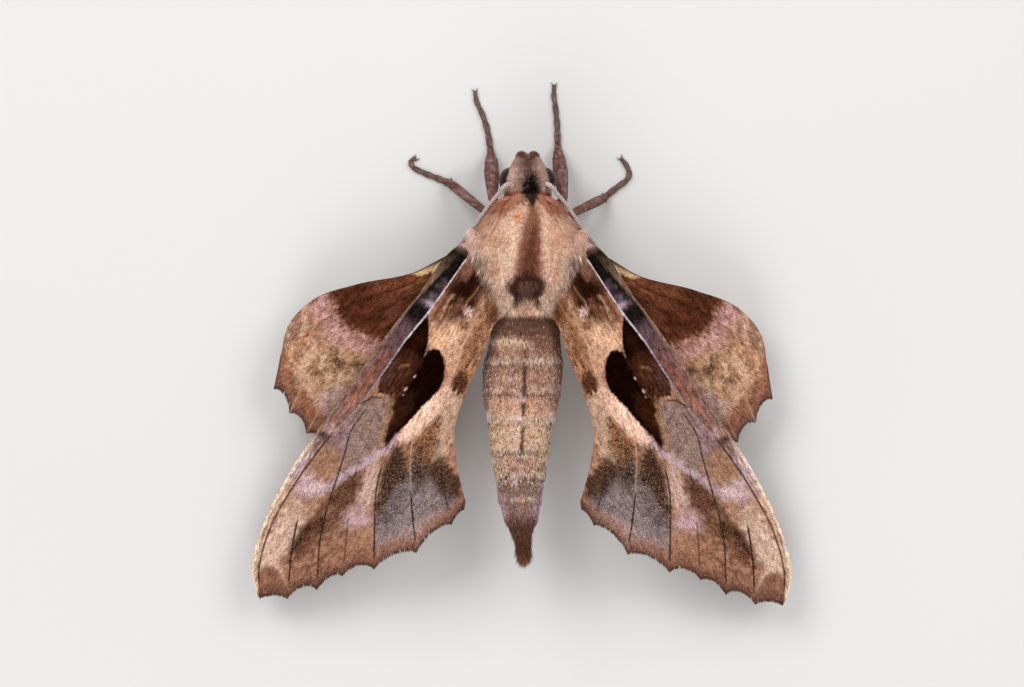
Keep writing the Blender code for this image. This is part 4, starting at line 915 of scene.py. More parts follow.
def paint_wing_root(u, v, wu, wv, brush):
    """Root: grey-tan hair, dark basal patch, salmon field with a lilac spot, rusty inner margin."""
    wash, oval, sweep, area = brush
    oval((1.0, 3.2), (3.6, 3.2), (0.46, 0.33, 0.26), 0.9)
    area(((7.0, 0.3), (10.4, 0.05), (12.3, 1.1), (14.4, 2.2), (13.5, 3.1), (14.2, 4.5), (15.4, 5.6), (17.3, 6.5),
          (14.5, 6.7), (11.0, 5.1), (8.5, 4.9), (6.5, 3.5)), (0.6, 0.35, 0.235))
    area(((2.4, 0.8), (5.0, 0.3), (9.5, 0.1), (11.0, 0.8), (11.7, 2.1), (10.8, 3.4), (9.0, 3.6), (7.6, 4.1),
          (5.0, 4.7), (3.2, 3.4)), (0.2, 0.085, 0.048), 0.9, 0.6)
    basal = region(wu, wv, ((4.0, 0.4), (11.4, 0.4), (14.0, 5.6), (5.0, 5.8), (3.6, 3.0)), 0.6)
    wash(flecks(u, v, 2.6, 0.3, 42, 0.52, 0.72) * basal * 0.6, (0.16, 0.062, 0.034))
    oval((5.5, 2.1), (2.5, 1.3), (0.03, 0.01, 0.006), 0.95, 0.6)
    oval((8.3, 2.6), (1.6, 0.7), (0.075, 0.026, 0.014), 0.65, 0.8, 10)
    oval((6.9, 3.0), (2.7, 1.6), (0.035, 0.013, 0.007), 0.88, 0.7, 10)
    for path in (((5.0, 3.5), (8.2, 3.3)), ((8.6, 1.9), (11.0, 2.7)), ((5.4, 4.7), (9.0, 4.4), (12.6, 4.9))):
        sweep(path, 0.22, (0.5, 0.27, 0.15), 0.55, 0.2)
    sweep(((10.4, 2.7), (9.6, 4.4), (8.9, 5.8)), 0.6, (0.15, 0.06, 0.03), 0.8, 0.35)
    oval((8.1, 4.2), (0.42, 0.9), (0.68, 0.48, 0.45), 0.85, 0.6, -20)
    sweep(((7.4, 1.3), (10.4, 1.6)), 0.35, (0.6, 0.42, 0.3), 0.5, 0.15)
    sweep(((4.0, 6.0), (8.0, 6.2), (14.0, 7.3), (16.5, 8.0)), (1.6, 2.8, 2.6, 1.8), (0.38, 0.195, 0.108), 0.9, 0.45)
    for centre, radii in (((9.6, 6.3), (1.5, 0.45)), ((6.0, 6.6), (1.4, 0.5)), ((11.6, 7.0), (1.2, 0.4))):
        oval(centre, radii, (0.17, 0.065, 0.028), 0.8, 0.7, 8)
    rusty = region(wu, wv, ((4.0, 5.2), (17.0, 6.6), (17.0, 9.0), (4.0, 8.0)), 0.5)
    wash(flecks(u, v, 2.2, 0.28, 43, 0.5, 0.7) * rusty * 0.65, (0.18, 0.07, 0.032))
    sweep(((6.0, 5.1), (12.5, 5.6), (17.0, 7.0)), 0.45, (0.6, 0.42, 0.3), 0.55, 0.25)
    area(((14.4, 7.0), (15.6, 6.6), (17.0, 6.9), (17.4, 7.8), (16.8, 8.5), (14.8, 8.4)), (0.105, 0.038, 0.018), 0.98,
         0.35)
    oval((12.1, 3.4), (2.3, 1.5), (0.84, 0.54, 0.37), 0.8, 0.6)
    oval((4.0, 1.4), (1.0, 0.6), (0.42, 0.22, 0.145), 0.5, 0.7)
    oval((8.0, 2.6), (0.9, 0.5), (0.42, 0.21, 0.125), 0.4, 0.7)
    sweep(((7.6, 5.9), (12.2, 6.5)), 1.0, (0.46, 0.24, 0.13), 0.3, 0.5)


def paint_wing_middle(u, v, wu, wv, brush):
    """Middle: bright salmon window, pale and brown clouds down to the inner margin."""
    wash, oval, sweep, area = brush
    area(((16.8, 6.2), (19.5, 5.3), (23.0, 4.6), (25.2, 4.3), (26.3, 5.0), (25.0, 6.2), (22.5, 6.9), (19.5, 7.5),
          (17.4, 8.0)), (0.74, 0.49, 0.38), 0.95, 0.3)
    oval((22.0, 5.55), (3.0, 0.75), (0.86, 0.6, 0.49), 0.9, 0.5, -8)
    sweep(((17.8, 8.0), (21.0, 8.6), (23.5, 9.8)), (2.0, 1.8, 1.6), (0.53, 0.37, 0.275), 0.85, 0.4)
    area(((20.8, 7.6), (23.0, 6.6), (25.3, 6.2), (26.6, 7.4), (26.6, 9.2), (24.0, 9.0), (22.0, 8.4)),
         (0.25, 0.105, 0.05), 0.9, 0.6)
    clouded = region(wu, wv, ((20.0, 7.4), (25.3, 6.0), (27.0, 7.6), (26.4, 10.6), (22.0, 9.0)), 0.6)
    wash(flecks(u, v, 1.6, 0.3, 45, 0.5, 0.68) * clouded * 0.7, (0.085, 0.032, 0.017))
    oval((24.6, 9.9), (1.0, 0.7), (0.5, 0.36, 0.26), 0.6, 0.6)


def paint_wing_tornus(brush):
    """Tornus: black-brown wedge under the median vein, violet-grey field, dark inner angle, pale rim."""
    _, oval, sweep, area = brush
    area(((26.6, 8.0), (30.0, 7.2), (35.5, 7.4), (38.6, 9.9), (35.8, 13.8), (30.0, 15.4), (27.6, 14.6),
          (27.0, 11.0)), (0.235, 0.19, 0.205), 0.95, 0.5)
    area(((31.0, 12.6), (36.8, 9.6), (38.4, 11.2), (35.8, 13.9), (29.5, 15.6)), (0.44, 0.325, 0.33), 0.75, 0.9)
    area(((29.0, 6.4), (33.0, 6.2), (35.6, 7.8), (34.0, 9.4), (30.4, 9.0)), (0.125, 0.095, 0.105), 0.8, 0.7)
    area(((25.7, 4.7), (30.0, 5.0), (33.0, 6.1), (34.8, 7.3), (32.4, 7.5), (30.4, 7.3), (29.0, 8.2), (26.8, 6.6)),
         (0.062, 0.028, 0.018), 0.96, 0.5)
    oval((27.6, 8.9), (1.9, 1.2), (0.06, 0.032, 0.024), 0.9, 0.7, 20)
    area(((24.3, 10.0), (26.4, 9.2), (28.0, 11.4), (28.6, 13.6), (27.2, 15.0), (25.4, 13.4)), (0.075, 0.036, 0.025),
         0.93, 0.6)
    sweep(((27.6, 15.1), (30.8, 14.9)), 0.45, (0.6, 0.45, 0.42), 0.8, 0.3)


def paint_wing_disc(u, v, wu, wv, brush):
    """Disc: black notch patch with painted glints, its brown upper part, grey-violet cell, tan streak, pale scale dots.
    """
    wash, oval, sweep, area = brush
    notch = ((10.7, 0.05), (12.0, 0.95), (13.5, 1.75), (14.7, 2.1), (13.9, 2.7), (13.6, 3.4), (14.2, 4.35),
             (15.0, 5.0), (16.2, 5.6), (17.5, 5.85), (19.5, 5.4), (21.0, 5.0), (23.0, 4.65), (25.0, 4.3),
             (27.2, 3.9), (26.2, 3.1), (24.0, 2.5), (22.4, 1.9), (21.4, 1.0), (21.9, -0.3), (20.0, -0.95),
             (15.0, -0.65))
    fine = (cloud(u, v, 0.14, 49) - 0.5) * 0.22
    inside = region(u + fine, v + fine, notch, 0.09)
    area(((21.6, 1.2), (22.8, -0.5), (24.5, -1.2), (28.0, -0.9), (30.6, 0.2), (31.6, 1.4), (29.4, 2.9), (27.2, 3.6),
          (24.0, 2.6)), (0.285, 0.195, 0.175), 0.95, 0.4)
    oval((31.0, 1.0), (2.6, 1.5), (0.3, 0.2, 0.185), 0.55, 0.7, -20)
    area(((24.0, -1.4), (27.5, -2.1), (30.5, -2.6), (31.0, -1.2), (30.0, 0.1), (27.5, -0.7)), (0.32, 0.21, 0.225),
         0.9, 0.4)
    area(((30.0, -2.4), (33.9, -2.9), (34.3, -0.6), (33.0, 0.4), (30.6, 0.0)), (0.36, 0.205, 0.135), 0.85, 0.4)
    wash(inside, (0.06, 0.022, 0.012))
    deep = inside * np.maximum(ramp(wv, 2.0, 2.7) * (1 - ramp(wu, 25.5, 27.5)), 1 - ramp(wu, 14.6, 16.4))
    wash(deep * 0.95, (0.011, 0.004, 0.0025))
    wash(inside * blot(wu, wv, (22.6, 3.3), (2.4, 0.9), 0.6) * 0.6, (0.085, 0.032, 0.016))
    wash(inside * blot(wu, wv, (14.0, 0.6), (1.3, 0.8), 0.6) * 0.6, (0.05, 0.018, 0.01))
    wash(inside * blot(wu, wv, (17.6, 1.2), (1.9, 0.7), 0.6) * 0.6, (0.105, 0.042, 0.022))
    wash(inside * blot(wu, wv, (19.8, -0.35), (2.0, 0.7), 0.5) * 0.7, (0.105, 0.058, 0.052))
    sweep(((21.3, 1.5), (24.0, 2.35), (27.0, 3.15), (28.4, 2.9)), (0.5, 0.9, 0.7, 0.4), (0.34, 0.19, 0.115), 0.8,
          0.25)
    # Painted glint: a small tan highlight on the notch patch.
    wash(stroke(u, v, ((17.1, 1.2), (17.5, 0.5), (18.1, 0.3)), 0.26, 0.2) * 0.6, (0.34, 0.18, 0.1))
    for centre, radii, level in (((14.9, 2.25), (0.28, 0.08), 0.4), ((17.9, 2.5), (0.2, 0.11), 0.9),
                                 ((19.75, 2.35), (0.26, 0.13), 1.0), ((20.5, 2.5), (0.2, 0.07), 0.5)):
        wash(blot(u, v, centre, radii, 0.5) * level, (0.62, 0.5, 0.44))
    # Painted glints: lighter orange-brown flecks over the red-brown part of the notch patch.
    glint_zone = inside * ramp(wu, 15.5, 20.0) * (1 - ramp(wv, 1.9, 2.6))
    wash(flecks(u, v, 2.0, 0.22, 48, 0.55, 0.72) * glint_zone * 0.5, (0.2, 0.085, 0.045))
    return inside


def paint_wing_outer_half(u, v, wu, wv, share, mottle, brush):
    """Outer half: lilac streak, pink-white bar, brown clouds, tan apex with its brown half-moon, brown margin."""
    wash, oval, sweep, area = brush
    area(((28.4, 3.6), (31.0, 3.2), (34.4, 3.6), (34.6, 5.8), (33.4, 6.2), (30.0, 4.9)), (0.6, 0.42, 0.36), 0.85, 0.6)
    area(((30.6, 2.9), (33.4, 1.3), (36.4, 0.9), (39.0, 0.9), (44.2, 0.3), (44.6, 2.0), (40.0, 2.9), (37.6, 3.9),
          (34.4, 4.0), (32.0, 3.6)), (0.155, 0.072, 0.042), 0.9, 0.6)
    sweep(((38.6, 1.9), (40.6, 0.75), (43.4, 0.75)), (0.8, 1.2, 0.6), (0.06, 0.024, 0.014), 0.9, 0.45)
    sweep(((32.4, 2.4), (36.0, 2.0)), 0.9, (0.105, 0.05, 0.03), 0.6, 0.4)
    oval((37.2, 1.9), (0.9, 0.6), (0.36, 0.21, 0.145), 0.7, 0.6)
    area(((38.0, -2.8), (44.0, -2.9), (48.0, -1.6), (46.2, -0.6), (44.2, 0.2), (40.0, 0.2), (38.0, -0.2)),
         (0.6, 0.435, 0.345), 0.92, 0.5)
    sweep(((39.2, -2.7), (39.0, -1.0), (38.4, 0.2)), 1.2, (0.42, 0.26, 0.185), 0.65, 0.4)
    area(((40.2, 2.9), (44.8, 1.8), (47.0, 2.0), (46.0, 5.0), (43.0, 7.6), (40.2, 10.0), (37.4, 7.8), (37.0, 4.4)),
         (0.35, 0.19, 0.125), 0.88, 0.6)
    clouded = region(wu, wv, ((30.0, 2.8), (34.0, 0.8), (44.6, -0.2), (46.6, 1.6), (44.0, 5.2), (37.0, 5.0),
                              (33.0, 4.4)), 0.8)
    wash(flecks(u, v, 1.8, 0.32, 46, 0.46, 0.7) * clouded * 0.62, (0.105, 0.045, 0.026))
    area(((34.4, 4.6), (36.8, 3.7), (37.7, 4.8), (36.6, 6.9), (35.2, 6.9)), (0.53, 0.375, 0.405), 0.78, 0.8)
    sweep(((27.2, 3.95), (30.0, 2.65), (32.0, 1.65), (34.0, 0.85), (35.4, 0.0)), (0.7, 0.9, 0.9, 0.9, 1.0),
          (0.5, 0.375, 0.41), 0.85, 0.4)
    area(((34.5, -2.9), (37.6, -2.9), (37.1, -1.0), (36.0, 0.4), (34.8, 0.6), (34.5, -0.8)), (0.65, 0.485, 0.505),
         0.85, 0.7)
    sweep(((25.0, 4.45), (27.8, 4.1)), 0.5, (0.44, 0.33, 0.38), 0.85, 0.2)
    wash(blot(u, v, (48.7, 0.55), (2.9, 1.95), 0.12, 35) * 0.95, (0.6, 0.45, 0.36))
    wash(blot(u, v, (49.0, 0.75), (2.75, 1.85), 0.12, 35) * 0.95, (0.265, 0.128, 0.08))
    rim = ramp(share + 0.02 * (mottle - 0.5), 0.925, 0.975) * ramp(v, 1.5, 3.0)
    wash(rim * 0.8, (0.29, 0.15, 0.1))
    wash(ramp(share, 0.972, 0.995) * 0.75, (0.15, 0.07, 0.05))


def paint_wing_costa(u, v, wu, vein, mottle, brush):
    """Costal strip above the radial stem, with its tan edge, the veins, and a painted highlight along the stem's ridge.
    """
    wash, *_ = brush
    rootward = 0.5 * (mottle - 0.5)
    stem = np.array(FOREWING_LINES[1])
    above = 1 - ramp(v - np.interp(u, stem[:, 0], stem[:, 1]), -0.16, -0.04)
    strip = along_wing(wu * 0.35 + u * 0.65, COSTAL_STRIP)
    edge = np.array(FOREWING_LINES[0])
    from_edge = v - np.interp(u, edge[:, 0], edge[:, 1])
    across = from_edge / np.maximum(from_edge - v + np.interp(u, stem[:, 0], stem[:, 1]), 0.3)
    ochre = ramp(u, 14.5, 18.0) * (1 - ramp(u, 27.0, 29.0)) * (1 - np.exp(-((across - 0.58) / 0.24) ** 2))
    strip = lay(strip, ochre * 0.8, (0.19, 0.115, 0.115))
    strip = lay(strip, (1 - ramp(wu, 10.0, 11.0)) * (1 - ramp(across + rootward, 0.25, 0.65)) * 0.85,
                (0.014, 0.01, 0.009))
    strip = strip * (0.62 + 0.76 * cloud(u / 6.0, v, 0.13, 53))[..., None]
    wash(above, strip)
    rail = (1 - ramp(from_edge, 0.1, 0.3)) * ramp(u, 1.5, 8)
    wash(rail * 0.7 * (1 - ramp(u, 29, 32)), (0.33, 0.225, 0.15))
    wash(rail * ramp(u, 29, 33) * 0.85, (0.82, 0.68, 0.53))
    wash((1 - ramp(u + rootward, 1.2, 2.4)) * 0.9, (0.62, 0.42, 0.34))
    # Painted highlight: a whitish line where the raised radial stem catches the light, turning brown further out.
    white = (vein == 1) * ramp(u, 2.2, 3.0) * (1 - ramp(u, 26, 31))
    ridge_highlight = along_wing(u, ((2, 0.62, 0.58, 0.6), (14, 0.56, 0.52, 0.56), (16.5, 0.34, 0.28, 0.31),
                           (24, 0.34, 0.28, 0.28), (31, 0.3, 0.22, 0.19)))
    wash(white, ridge_highlight)
    for number, start, end, strength in DARK_VEINS:
        dark = (vein == number) * ramp(u, start - 0.4, start + 0.6) * (1 - ramp(u, end - 0.6, end + 0.2))
        wash(dark * strength, (0.03, 0.018, 0.016))
    wash((vein == 6) * ramp(u, 20, 23) * (1 - ramp(u, 29, 30.5)) * 0.6, (0.52, 0.38, 0.28))
    wash(stroke(u, v, ((24.0, -1.25), (22.7, -0.6), (22.1, 0.5)), 0.22, 0.12) * 0.85, (0.045, 0.028, 0.025))
    return above


def forewing_gold(u, v, inside, above):
    """Share of gold scales on a forewing: added and taken by ovals, none on the notch patch, little on the costa."""
    gold = 0.15 + 0.3 * ramp(v, 5.6, 6.6) * (1 - ramp(u, 24, 27)) - 0.4 * inside
    for centre, radii, blur, gain in (((31.5, 10.5), (5.5, 4.0), 0.5, 0.25), ((6.0, 2.2), (4.5, 1.8), 0.4, -0.15),
                                      ((27.0, 1.5), (4.5, 2.2), 0.5, 0.25)):
        gold = gold + gain * blot(u, v, centre, radii, blur)
    for centre, radii, blur, loss in (((26.6, 12.4), (2.4, 3.2), 0.5, 0.6), ((22.0, 5.5), (3.6, 1.0), 0.4, 0.7),
                                      ((15.8, 7.6), (1.6, 1.1), 0.5, 0.75)):
        gold = gold * (1 - loss * blot(u, v, centre, radii, blur))
    return np.clip(gold * (1 - 0.8 * above), 0.0, 0.6)


def forewing_colour(u, v, vein, share):
    """Upper pattern of a forewing and how much gold powder lies on it."""
    wu, wv = combed(u, v, 41)
    mottle = cloud(u, v, 0.6, 44)
    colour = plain((0.4, 0.225, 0.15), u)
    brush = brushes(colour, wu, wv)
    paint_wing_root(u, v, wu, wv, brush)
    paint_wing_middle(u, v, wu, wv, brush)
    paint_wing_tornus(brush)
    inside = paint_wing_disc(u, v, wu, wv, brush)
    paint_wing_outer_half(u, v, wu, wv, share, mottle, brush)
    above = paint_wing_costa(u, v, wu, vein, mottle, brush)
    shade = 0.8 + 0.36 * mottle + 0.22 * (cloud(u / 3.0, v, 0.22, 47) - 0.5)
    shade = shade + (1.0 - shade) * 0.7 * blot(u, v, (21.3, 5.9), (4.2, 1.1), 0.4, -8)
    return deepen(colour * shade[..., None]), forewing_gold(u, v, inside, above)


def forewing_underside(u, v, vein, share):
    """Lower pattern of a forewing: brown-pink, greyer at the root, with two cross lines and a darker margin."""
    wu, wv = combed(u, v, 61)
    colour = plain((0.38, 0.215, 0.145), u)
    colour = lay(colour, blot(wu, wv, (5.0, 3.5), (9.0, 5.0), 0.6) * 0.8, (0.44, 0.3, 0.235))
    colour = lay(colour, ramp(cloud(u, v, 1.6, 64), 0.45, 0.85) * 0.45, (0.27, 0.135, 0.085))
    for path in (((27.5, -3.6), (28.5, 2.0), (26.0, 8.0)), ((34.0, -4.2), (35.0, 2.0), (31.0, 10.0))):
        colour = lay(colour, stroke(wu, wv, path, 0.8, 0.4) * 0.9, (0.13, 0.058, 0.038))
    colour = lay(colour, blot(wu, wv, (43.0, 1.5), (5.0, 4.0), 0.7) * 0.7, (0.44, 0.32, 0.29))
    colour = lay(colour, ramp(share, 0.84, 0.96) * 0.9, (0.17, 0.08, 0.052))
    return lay(colour, (vein >= 0) * 0.5, (0.48, 0.32, 0.24)), np.full(u.shape, 0.2)


HINDWING_LINES = (
    ((-1.2, 2.0), (1.2, -0.2), (8.5, -1.8), (14.5, -4.4), (20.0, -5.9), (24.2, -5.0), (26.9, -2.6)),
    ((-1.0, 2.5), (1.6, 0.5), (8.0, -0.4), (14.0, -2.2), (19.5, -3.2), (24.5, -2.4), (29.6, 0.1)),
    ((-0.8, 3.0), (2.0, 1.3), (8.0, 0.7), (14.0, -0.2), (19.5, -0.2), (24.8, 0.9), (29.7, 3.6)),
    ((-0.5, 3.6), (2.3, 2.2), (8.0, 1.9), (13.5, 1.9), (19.0, 2.6), (24.2, 4.2), (29.4, 6.8)),
    ((-0.3, 4.2), (2.4, 3.1), (7.8, 3.2), (13.0, 4.0), (18.0, 5.4), (23.0, 7.5), (27.8, 10.1)),
    ((0.0, 5.0), (2.6, 4.1), (7.3, 4.7), (12.2, 6.3), (16.5, 8.2), (20.5, 10.3), (24.6, 13.0)),
    ((0.3, 6.0), (2.8, 5.3), (7.0, 6.6), (11.0, 8.6), (14.5, 10.6), (17.4, 12.4), (20.2, 14.7)),
    ((0.8, 7.3), (3.4, 7.2), (6.6, 8.9), (9.6, 10.8), (12.0, 12.2), (13.8, 13.2), (15.4, 14.2)),
)
HINDWING_SCALLOPS = (0.0, 0.75, 0.75, 0.7, 0.6, 0.5, 0.3)
HINDWING_ROWS, HINDWING_BETWEEN = 190, 5


def hindwing_colour(u, v, vein, share):
    """Upper pattern of a hindwing: cream shoulder, red-brown base, pink-lilac arc, mottled tan, brown margin."""
    wu, wv = combed(u, v, 71)
    mottle = cloud(u, v, 0.7, 74)
    colour = plain((0.45, 0.26, 0.175), u)
    wash, oval, sweep, area = brushes(colour, wu, wv)
    # Clouds: pinkish apex, orange-tan and yellow-tan fields with dark crumbs, thin wavy line.
    area(((20.5, -6.2), (24.8, -5.0), (26.4, -3.0), (24.0, -2.6), (21.6, -3.4)), (0.55, 0.345, 0.27), 0.85, 0.5)
    area(((22.0, -3.2), (26.6, -2.8), (28.0, -0.6), (26.0, 0.6), (22.4, 0.8)), (0.62, 0.35, 0.215), 0.8, 0.5)
    area(((19.8, -0.8), (24.4, -0.4), (25.6, 2.0), (25.2, 4.6), (20.8, 4.8), (19.0, 2.6)), (0.43, 0.265, 0.155),
         0.85, 0.5)
    wash(ramp(cloud(u, v, 0.45, 75), 0.6, 0.85) * ramp(u, 18.5, 20.5) * 0.55, (0.19, 0.088, 0.05))
    for centre, radii in (((21.7, 1.9), (0.45, 0.9)), ((20.6, 3.7), (0.5, 0.35)), ((24.6, 1.9), (0.7, 0.25)),
                          ((22.7, 2.9), (0.4, 0.5)), ((23.0, 0.3), (0.5, 0.3))):
        oval(centre, radii, (0.11, 0.05, 0.03), 0.75, 0.8)
    net = 1 - np.abs(2 * cloud(u, v, 1.1, 76) - 1)
    wash(ramp(net, 0.86, 0.97) * ramp(u, 19.0, 21.0) * 0.55, (0.2, 0.092, 0.052))
    wash(ramp(cloud(u, v, 0.8, 79), 0.55, 0.8) * ramp(u, 19.0, 21.0) * 0.5, (0.6, 0.42, 0.31))
    sweep(((22.0, -2.6), (23.3, -1.6), (25.4, -1.2)), 0.3, (0.17, 0.072, 0.042), 0.7, 0.15)
    sweep(((21.8, -4.2), (22.6, -3.2), (22.4, -2.4)), 0.35, (0.27, 0.13, 0.085), 0.45, 0.2)
    for path, width, tint, level in (
            (((22.4, -1.8), (23.4, -0.8), (22.9, 0.4), (23.9, 1.4), (23.5, 2.8), (22.6, 3.6)),
             0.55, (0.7, 0.5, 0.36), 0.65),
            (((24.4, -0.4), (25.6, 0.4), (25.1, 1.6), (25.9, 2.6)), 0.45, (0.62, 0.43, 0.32), 0.5),
            (((21.2, -4.8), (22.0, -3.4), (23.4, -2.6), (24.9, -1.9), (26.0, -0.6)),
             0.26, (0.15, 0.066, 0.04), 0.7),
            (((20.8, -1.6), (21.6, -0.4), (21.0, 0.8), (21.9, 1.9), (21.0, 3.0), (19.8, 3.6), (18.6, 4.6)),
             0.42, (0.085, 0.038, 0.024), 0.75),
            (((24.3, 0.4), (25.0, 1.1), (24.6, 2.4), (25.2, 3.6)), 0.24, (0.17, 0.076, 0.046), 0.65)):
        sweep(path, width, tint, level, 0.25)
    area(((22.6, 4.2), (26.4, 4.0), (27.0, 6.4), (23.4, 7.4)), (0.42, 0.29, 0.27), 0.85, 0.5)
    area(((18.0, 4.6), (22.0, 5.0), (24.0, 8.0), (19.0, 7.0)), (0.36, 0.215, 0.15), 0.7, 0.6)
    # Base: dark red-brown out to the arc, orange-brown streaks, the pink-lilac arc itself.
    area(((6.0, -1.5), (12.0, -4.4), (17.0, -6.0), (18.4, -4.6), (18.6, -1.5), (17.6, 0.6), (16.0, 2.8), (13.0, 6.0),
          (6.0, 5.0)), (0.125, 0.042, 0.022), 0.95, 0.5)
    area(((13.5, -5.0), (17.2, -5.8), (18.2, -3.0), (17.2, 0.0), (15.0, 1.8), (13.6, 0.4)), (0.06, 0.02, 0.01), 0.7,
         0.8)
    sweep(((6.0, -0.5), (10.0, -1.6), (15.0, -3.1)), (0.5, 0.5, 0.2), (0.3, 0.12, 0.052), 0.45, 0.4)
    sweep(((7.0, -0.2), (11.0, -0.8)), (0.3, 0.2), (0.48, 0.24, 0.12), 0.6, 0.2)
    sweep(((8.0, -0.5), (12.0, -0.9), (16.0, -1.2)), (0.4, 0.5, 0.3), (0.2, 0.068, 0.026), 0.5, 0.3)
    sweep(((10.0, -3.0), (14.0, -4.6), (17.0, -5.6)), 0.7, (0.26, 0.095, 0.045), 0.65, 0.4)
    arc = ((19.3, -5.8), (19.6, -3.2), (19.8, -1.2), (19.0, 0.8), (17.6, 2.4), (16.4, 3.6), (14.5, 6.5))
    sweep(arc, (2.2, 2.4, 2.2, 2.0, 1.8, 1.6, 1.2), (0.52, 0.3, 0.27), 0.85, 0.9)
    sweep(arc[:4], (0.9, 1.0, 0.9, 0.7), (0.64, 0.4, 0.4), 0.55, 0.6)
    arc_side = region(wu, wv, ((15.0, -6.4), (20.4, -6.2), (20.2, 0.4), (16.0, 4.0), (13.0, 2.0)), 0.8)
    wash(flecks(u, v, 3.0, 0.3, 78, 0.48, 0.66) * arc_side * 0.6, (0.15, 0.048, 0.022))
    # Shoulder: cream strip under a dark leading edge; margin: red-brown with pale veins and a grey rim.
    area(((2.0, -0.6), (4.0, -1.4), (8.8, -1.9), (7.4, -0.9), (5.2, -0.1), (2.0, 0.6)), (0.68, 0.5, 0.3), 0.95, 0.15)
    edge = np.array(HINDWING_LINES[0])
    from_edge = v - np.interp(u, edge[:, 0], edge[:, 1])
    wash((1 - ramp(from_edge, 0.05, 0.28)) * (1 - ramp(u, 15, 19)) * 0.85, (0.1, 0.045, 0.028))
    rim = ramp(share + 0.05 * (mottle - 0.5), 0.885, 0.945)
    wash(rim * 0.85, (0.27, 0.118, 0.072))
    wash(ramp(share + 0.03 * (mottle - 0.5), 0.965, 0.995) * 0.7, (0.17, 0.09, 0.075))
    wash((vein >= 2) * ramp(share, 0.84, 0.9) * 0.45, (0.52, 0.35, 0.26))
    wash((vein >= 1) * (1 - ramp(share, 0.55, 0.66)) * 0.4, (0.05, 0.02, 0.012))
    shade = 0.8 + 0.36 * mottle + 0.22 * (cloud(u / 3.0, v, 0.22, 77) - 0.5)
    gold = 0.03 + 0.3 * ramp(u, 18, 21) * (1 - 0.6 * rim)
    return deepen(colour * shade[..., None]), gold


def hindwing_underside(u, v, vein, share):
    """Lower pattern of a hindwing: tan-brown with two cross lines, a paler inner field and a darker margin."""
    wu, wv = combed(u, v, 81)
    colour = plain((0.42, 0.25, 0.17), u)
    colour = lay(colour, ramp(cloud(u, v, 1.4, 84), 0.45, 0.85) * 0.45, (0.29, 0.15, 0.095))
    for path in (((15.0, -5.0), (15.5, 1.0), (11.0, 8.0)), ((20.5, -6.0), (21.5, 2.0), (16.0, 11.0))):
        colour = lay(colour, stroke(wu, wv, path, 0.7, 0.4) * 0.9, (0.13, 0.058, 0.038))
    colour = lay(colour, blot(wu, wv, (24.0, 2.0), (3.0, 5.0), 0.7) * 0.6, (0.46, 0.33, 0.3))
    colour = lay(colour, ramp(share, 0.84, 0.96) * 0.9, (0.17, 0.078, 0.05))
    return lay(colour, (vein >= 1) * 0.5, (0.5, 0.33, 0.25)), np.full(u.shape, 0.2)


def wing_piece(name, kind, word, grid, upper_paint, lower_paint, finish):
    """A closed membrane: the roof surface, raised by a bell on each vein and sunk by a sine in each cell."""
    plan, vein, gap, cell, share = grid
    u, v = plan[..., 0], plan[..., 1]
    place = wing_place(kind, word, u, v)
    ridge = VEIN_RISE * np.exp(-(gap / VEIN_WIDTH) ** 2) * ramp(share, 0.02, 0.1) * (1 - 0.5 * ramp(share, 0.8, 1.0))
    costa = np.arange(plan.shape[0])[:, None] / 8.0
    roll = COSTA_ROLL * np.exp(-costa**2)
    ripple = RIPPLE[0] * (cloud(u, v, 1.8, 91) - 0.5) + RIPPLE[1] * (cloud(u, v, 0.5, 92) - 0.5)
    sag = ripple - CELL_SAG * cell
    upper, lower = place.copy(), place.copy()
    upper[..., 2] += MEMBRANE[0] + ridge + roll + sag
    lower[..., 2] += sag - MEMBRANE[1] - 0.5 * ridge - 0.5 * roll
    lines, rows = share.shape
    total = lines * rows
    line, row = np.meshgrid(np.arange(lines - 1), np.arange(rows - 1), indexing="ij")
    a = (line * rows + row).ravel()
    top = np.stack([a, a + 1, a + rows + 1, a + rows], axis=1)
    rim = np.concatenate([np.arange(lines) * rows, (lines - 1) * rows + np.arange(1, rows),
                          np.arange(lines - 2, -1, -1) * rows + rows - 1, np.arange(rows - 2, 0, -1)])
    after = np.roll(rim, -1)
    wall = np.stack([rim, after, after + total, rim + total], axis=1)
    points = np.concatenate([upper.reshape(-1, 3), lower.reshape(-1, 3)])
    above, gold = upper_paint(u, v, vein, share)
    below, dust = lower_paint(u, v, vein, share)
    colour = np.concatenate([above.reshape(-1, 3), below.reshape(-1, 3)])
    flat = np.stack([u.ravel(), v.ravel(), 0 * u.ravel()], axis=1)
    fields = {"plan": np.concatenate([flat, flat + UNDERSIDE_SHIFT]),
              "gold": np.concatenate([gold.ravel(), dust.ravel()])}
    piece = make_piece(name, points, [top, top[:, ::-1] + total, wall[:, ::-1]], finish, colour,
                       fields)
    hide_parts(f"{kind}_{word}")
    return upper, above


wing_finishes = {
    "forewing": coat_finish("forewing_powder", 0.78, cells=10.0, contrast=0.85, bump=0.55, depth=0.00005, where="plan",
                            gold_field="gold", specular=0.0, streak=0.75),
    "hindwing": coat_finish("hindwing_powder", 0.78, cells=10.0, contrast=0.8, bump=0.55, depth=0.00005, where="plan",
                            gold_field="gold", specular=0.0, streak=0.85),
}
wing_grids = {
    "forewing": wing_grid(FOREWING_LINES, FOREWING_SCALLOPS, FOREWING_ROWS, FOREWING_BETWEEN),
    "hindwing": wing_grid(HINDWING_LINES, HINDWING_SCALLOPS, HINDWING_ROWS, HINDWING_BETWEEN),
}
wing_paints = {"forewing": (forewing_colour, forewing_underside), "hindwing": (hindwing_colour, hindwing_underside)}
wing_tops = {}
for kind, grid in wing_grids.items():
    for word in SIDES:
        wing_tops[kind, word] = wing_piece(f"{kind}_{word}_membrane", kind, word, grid, *wing_paints[kind],
                                           wing_finishes[kind])

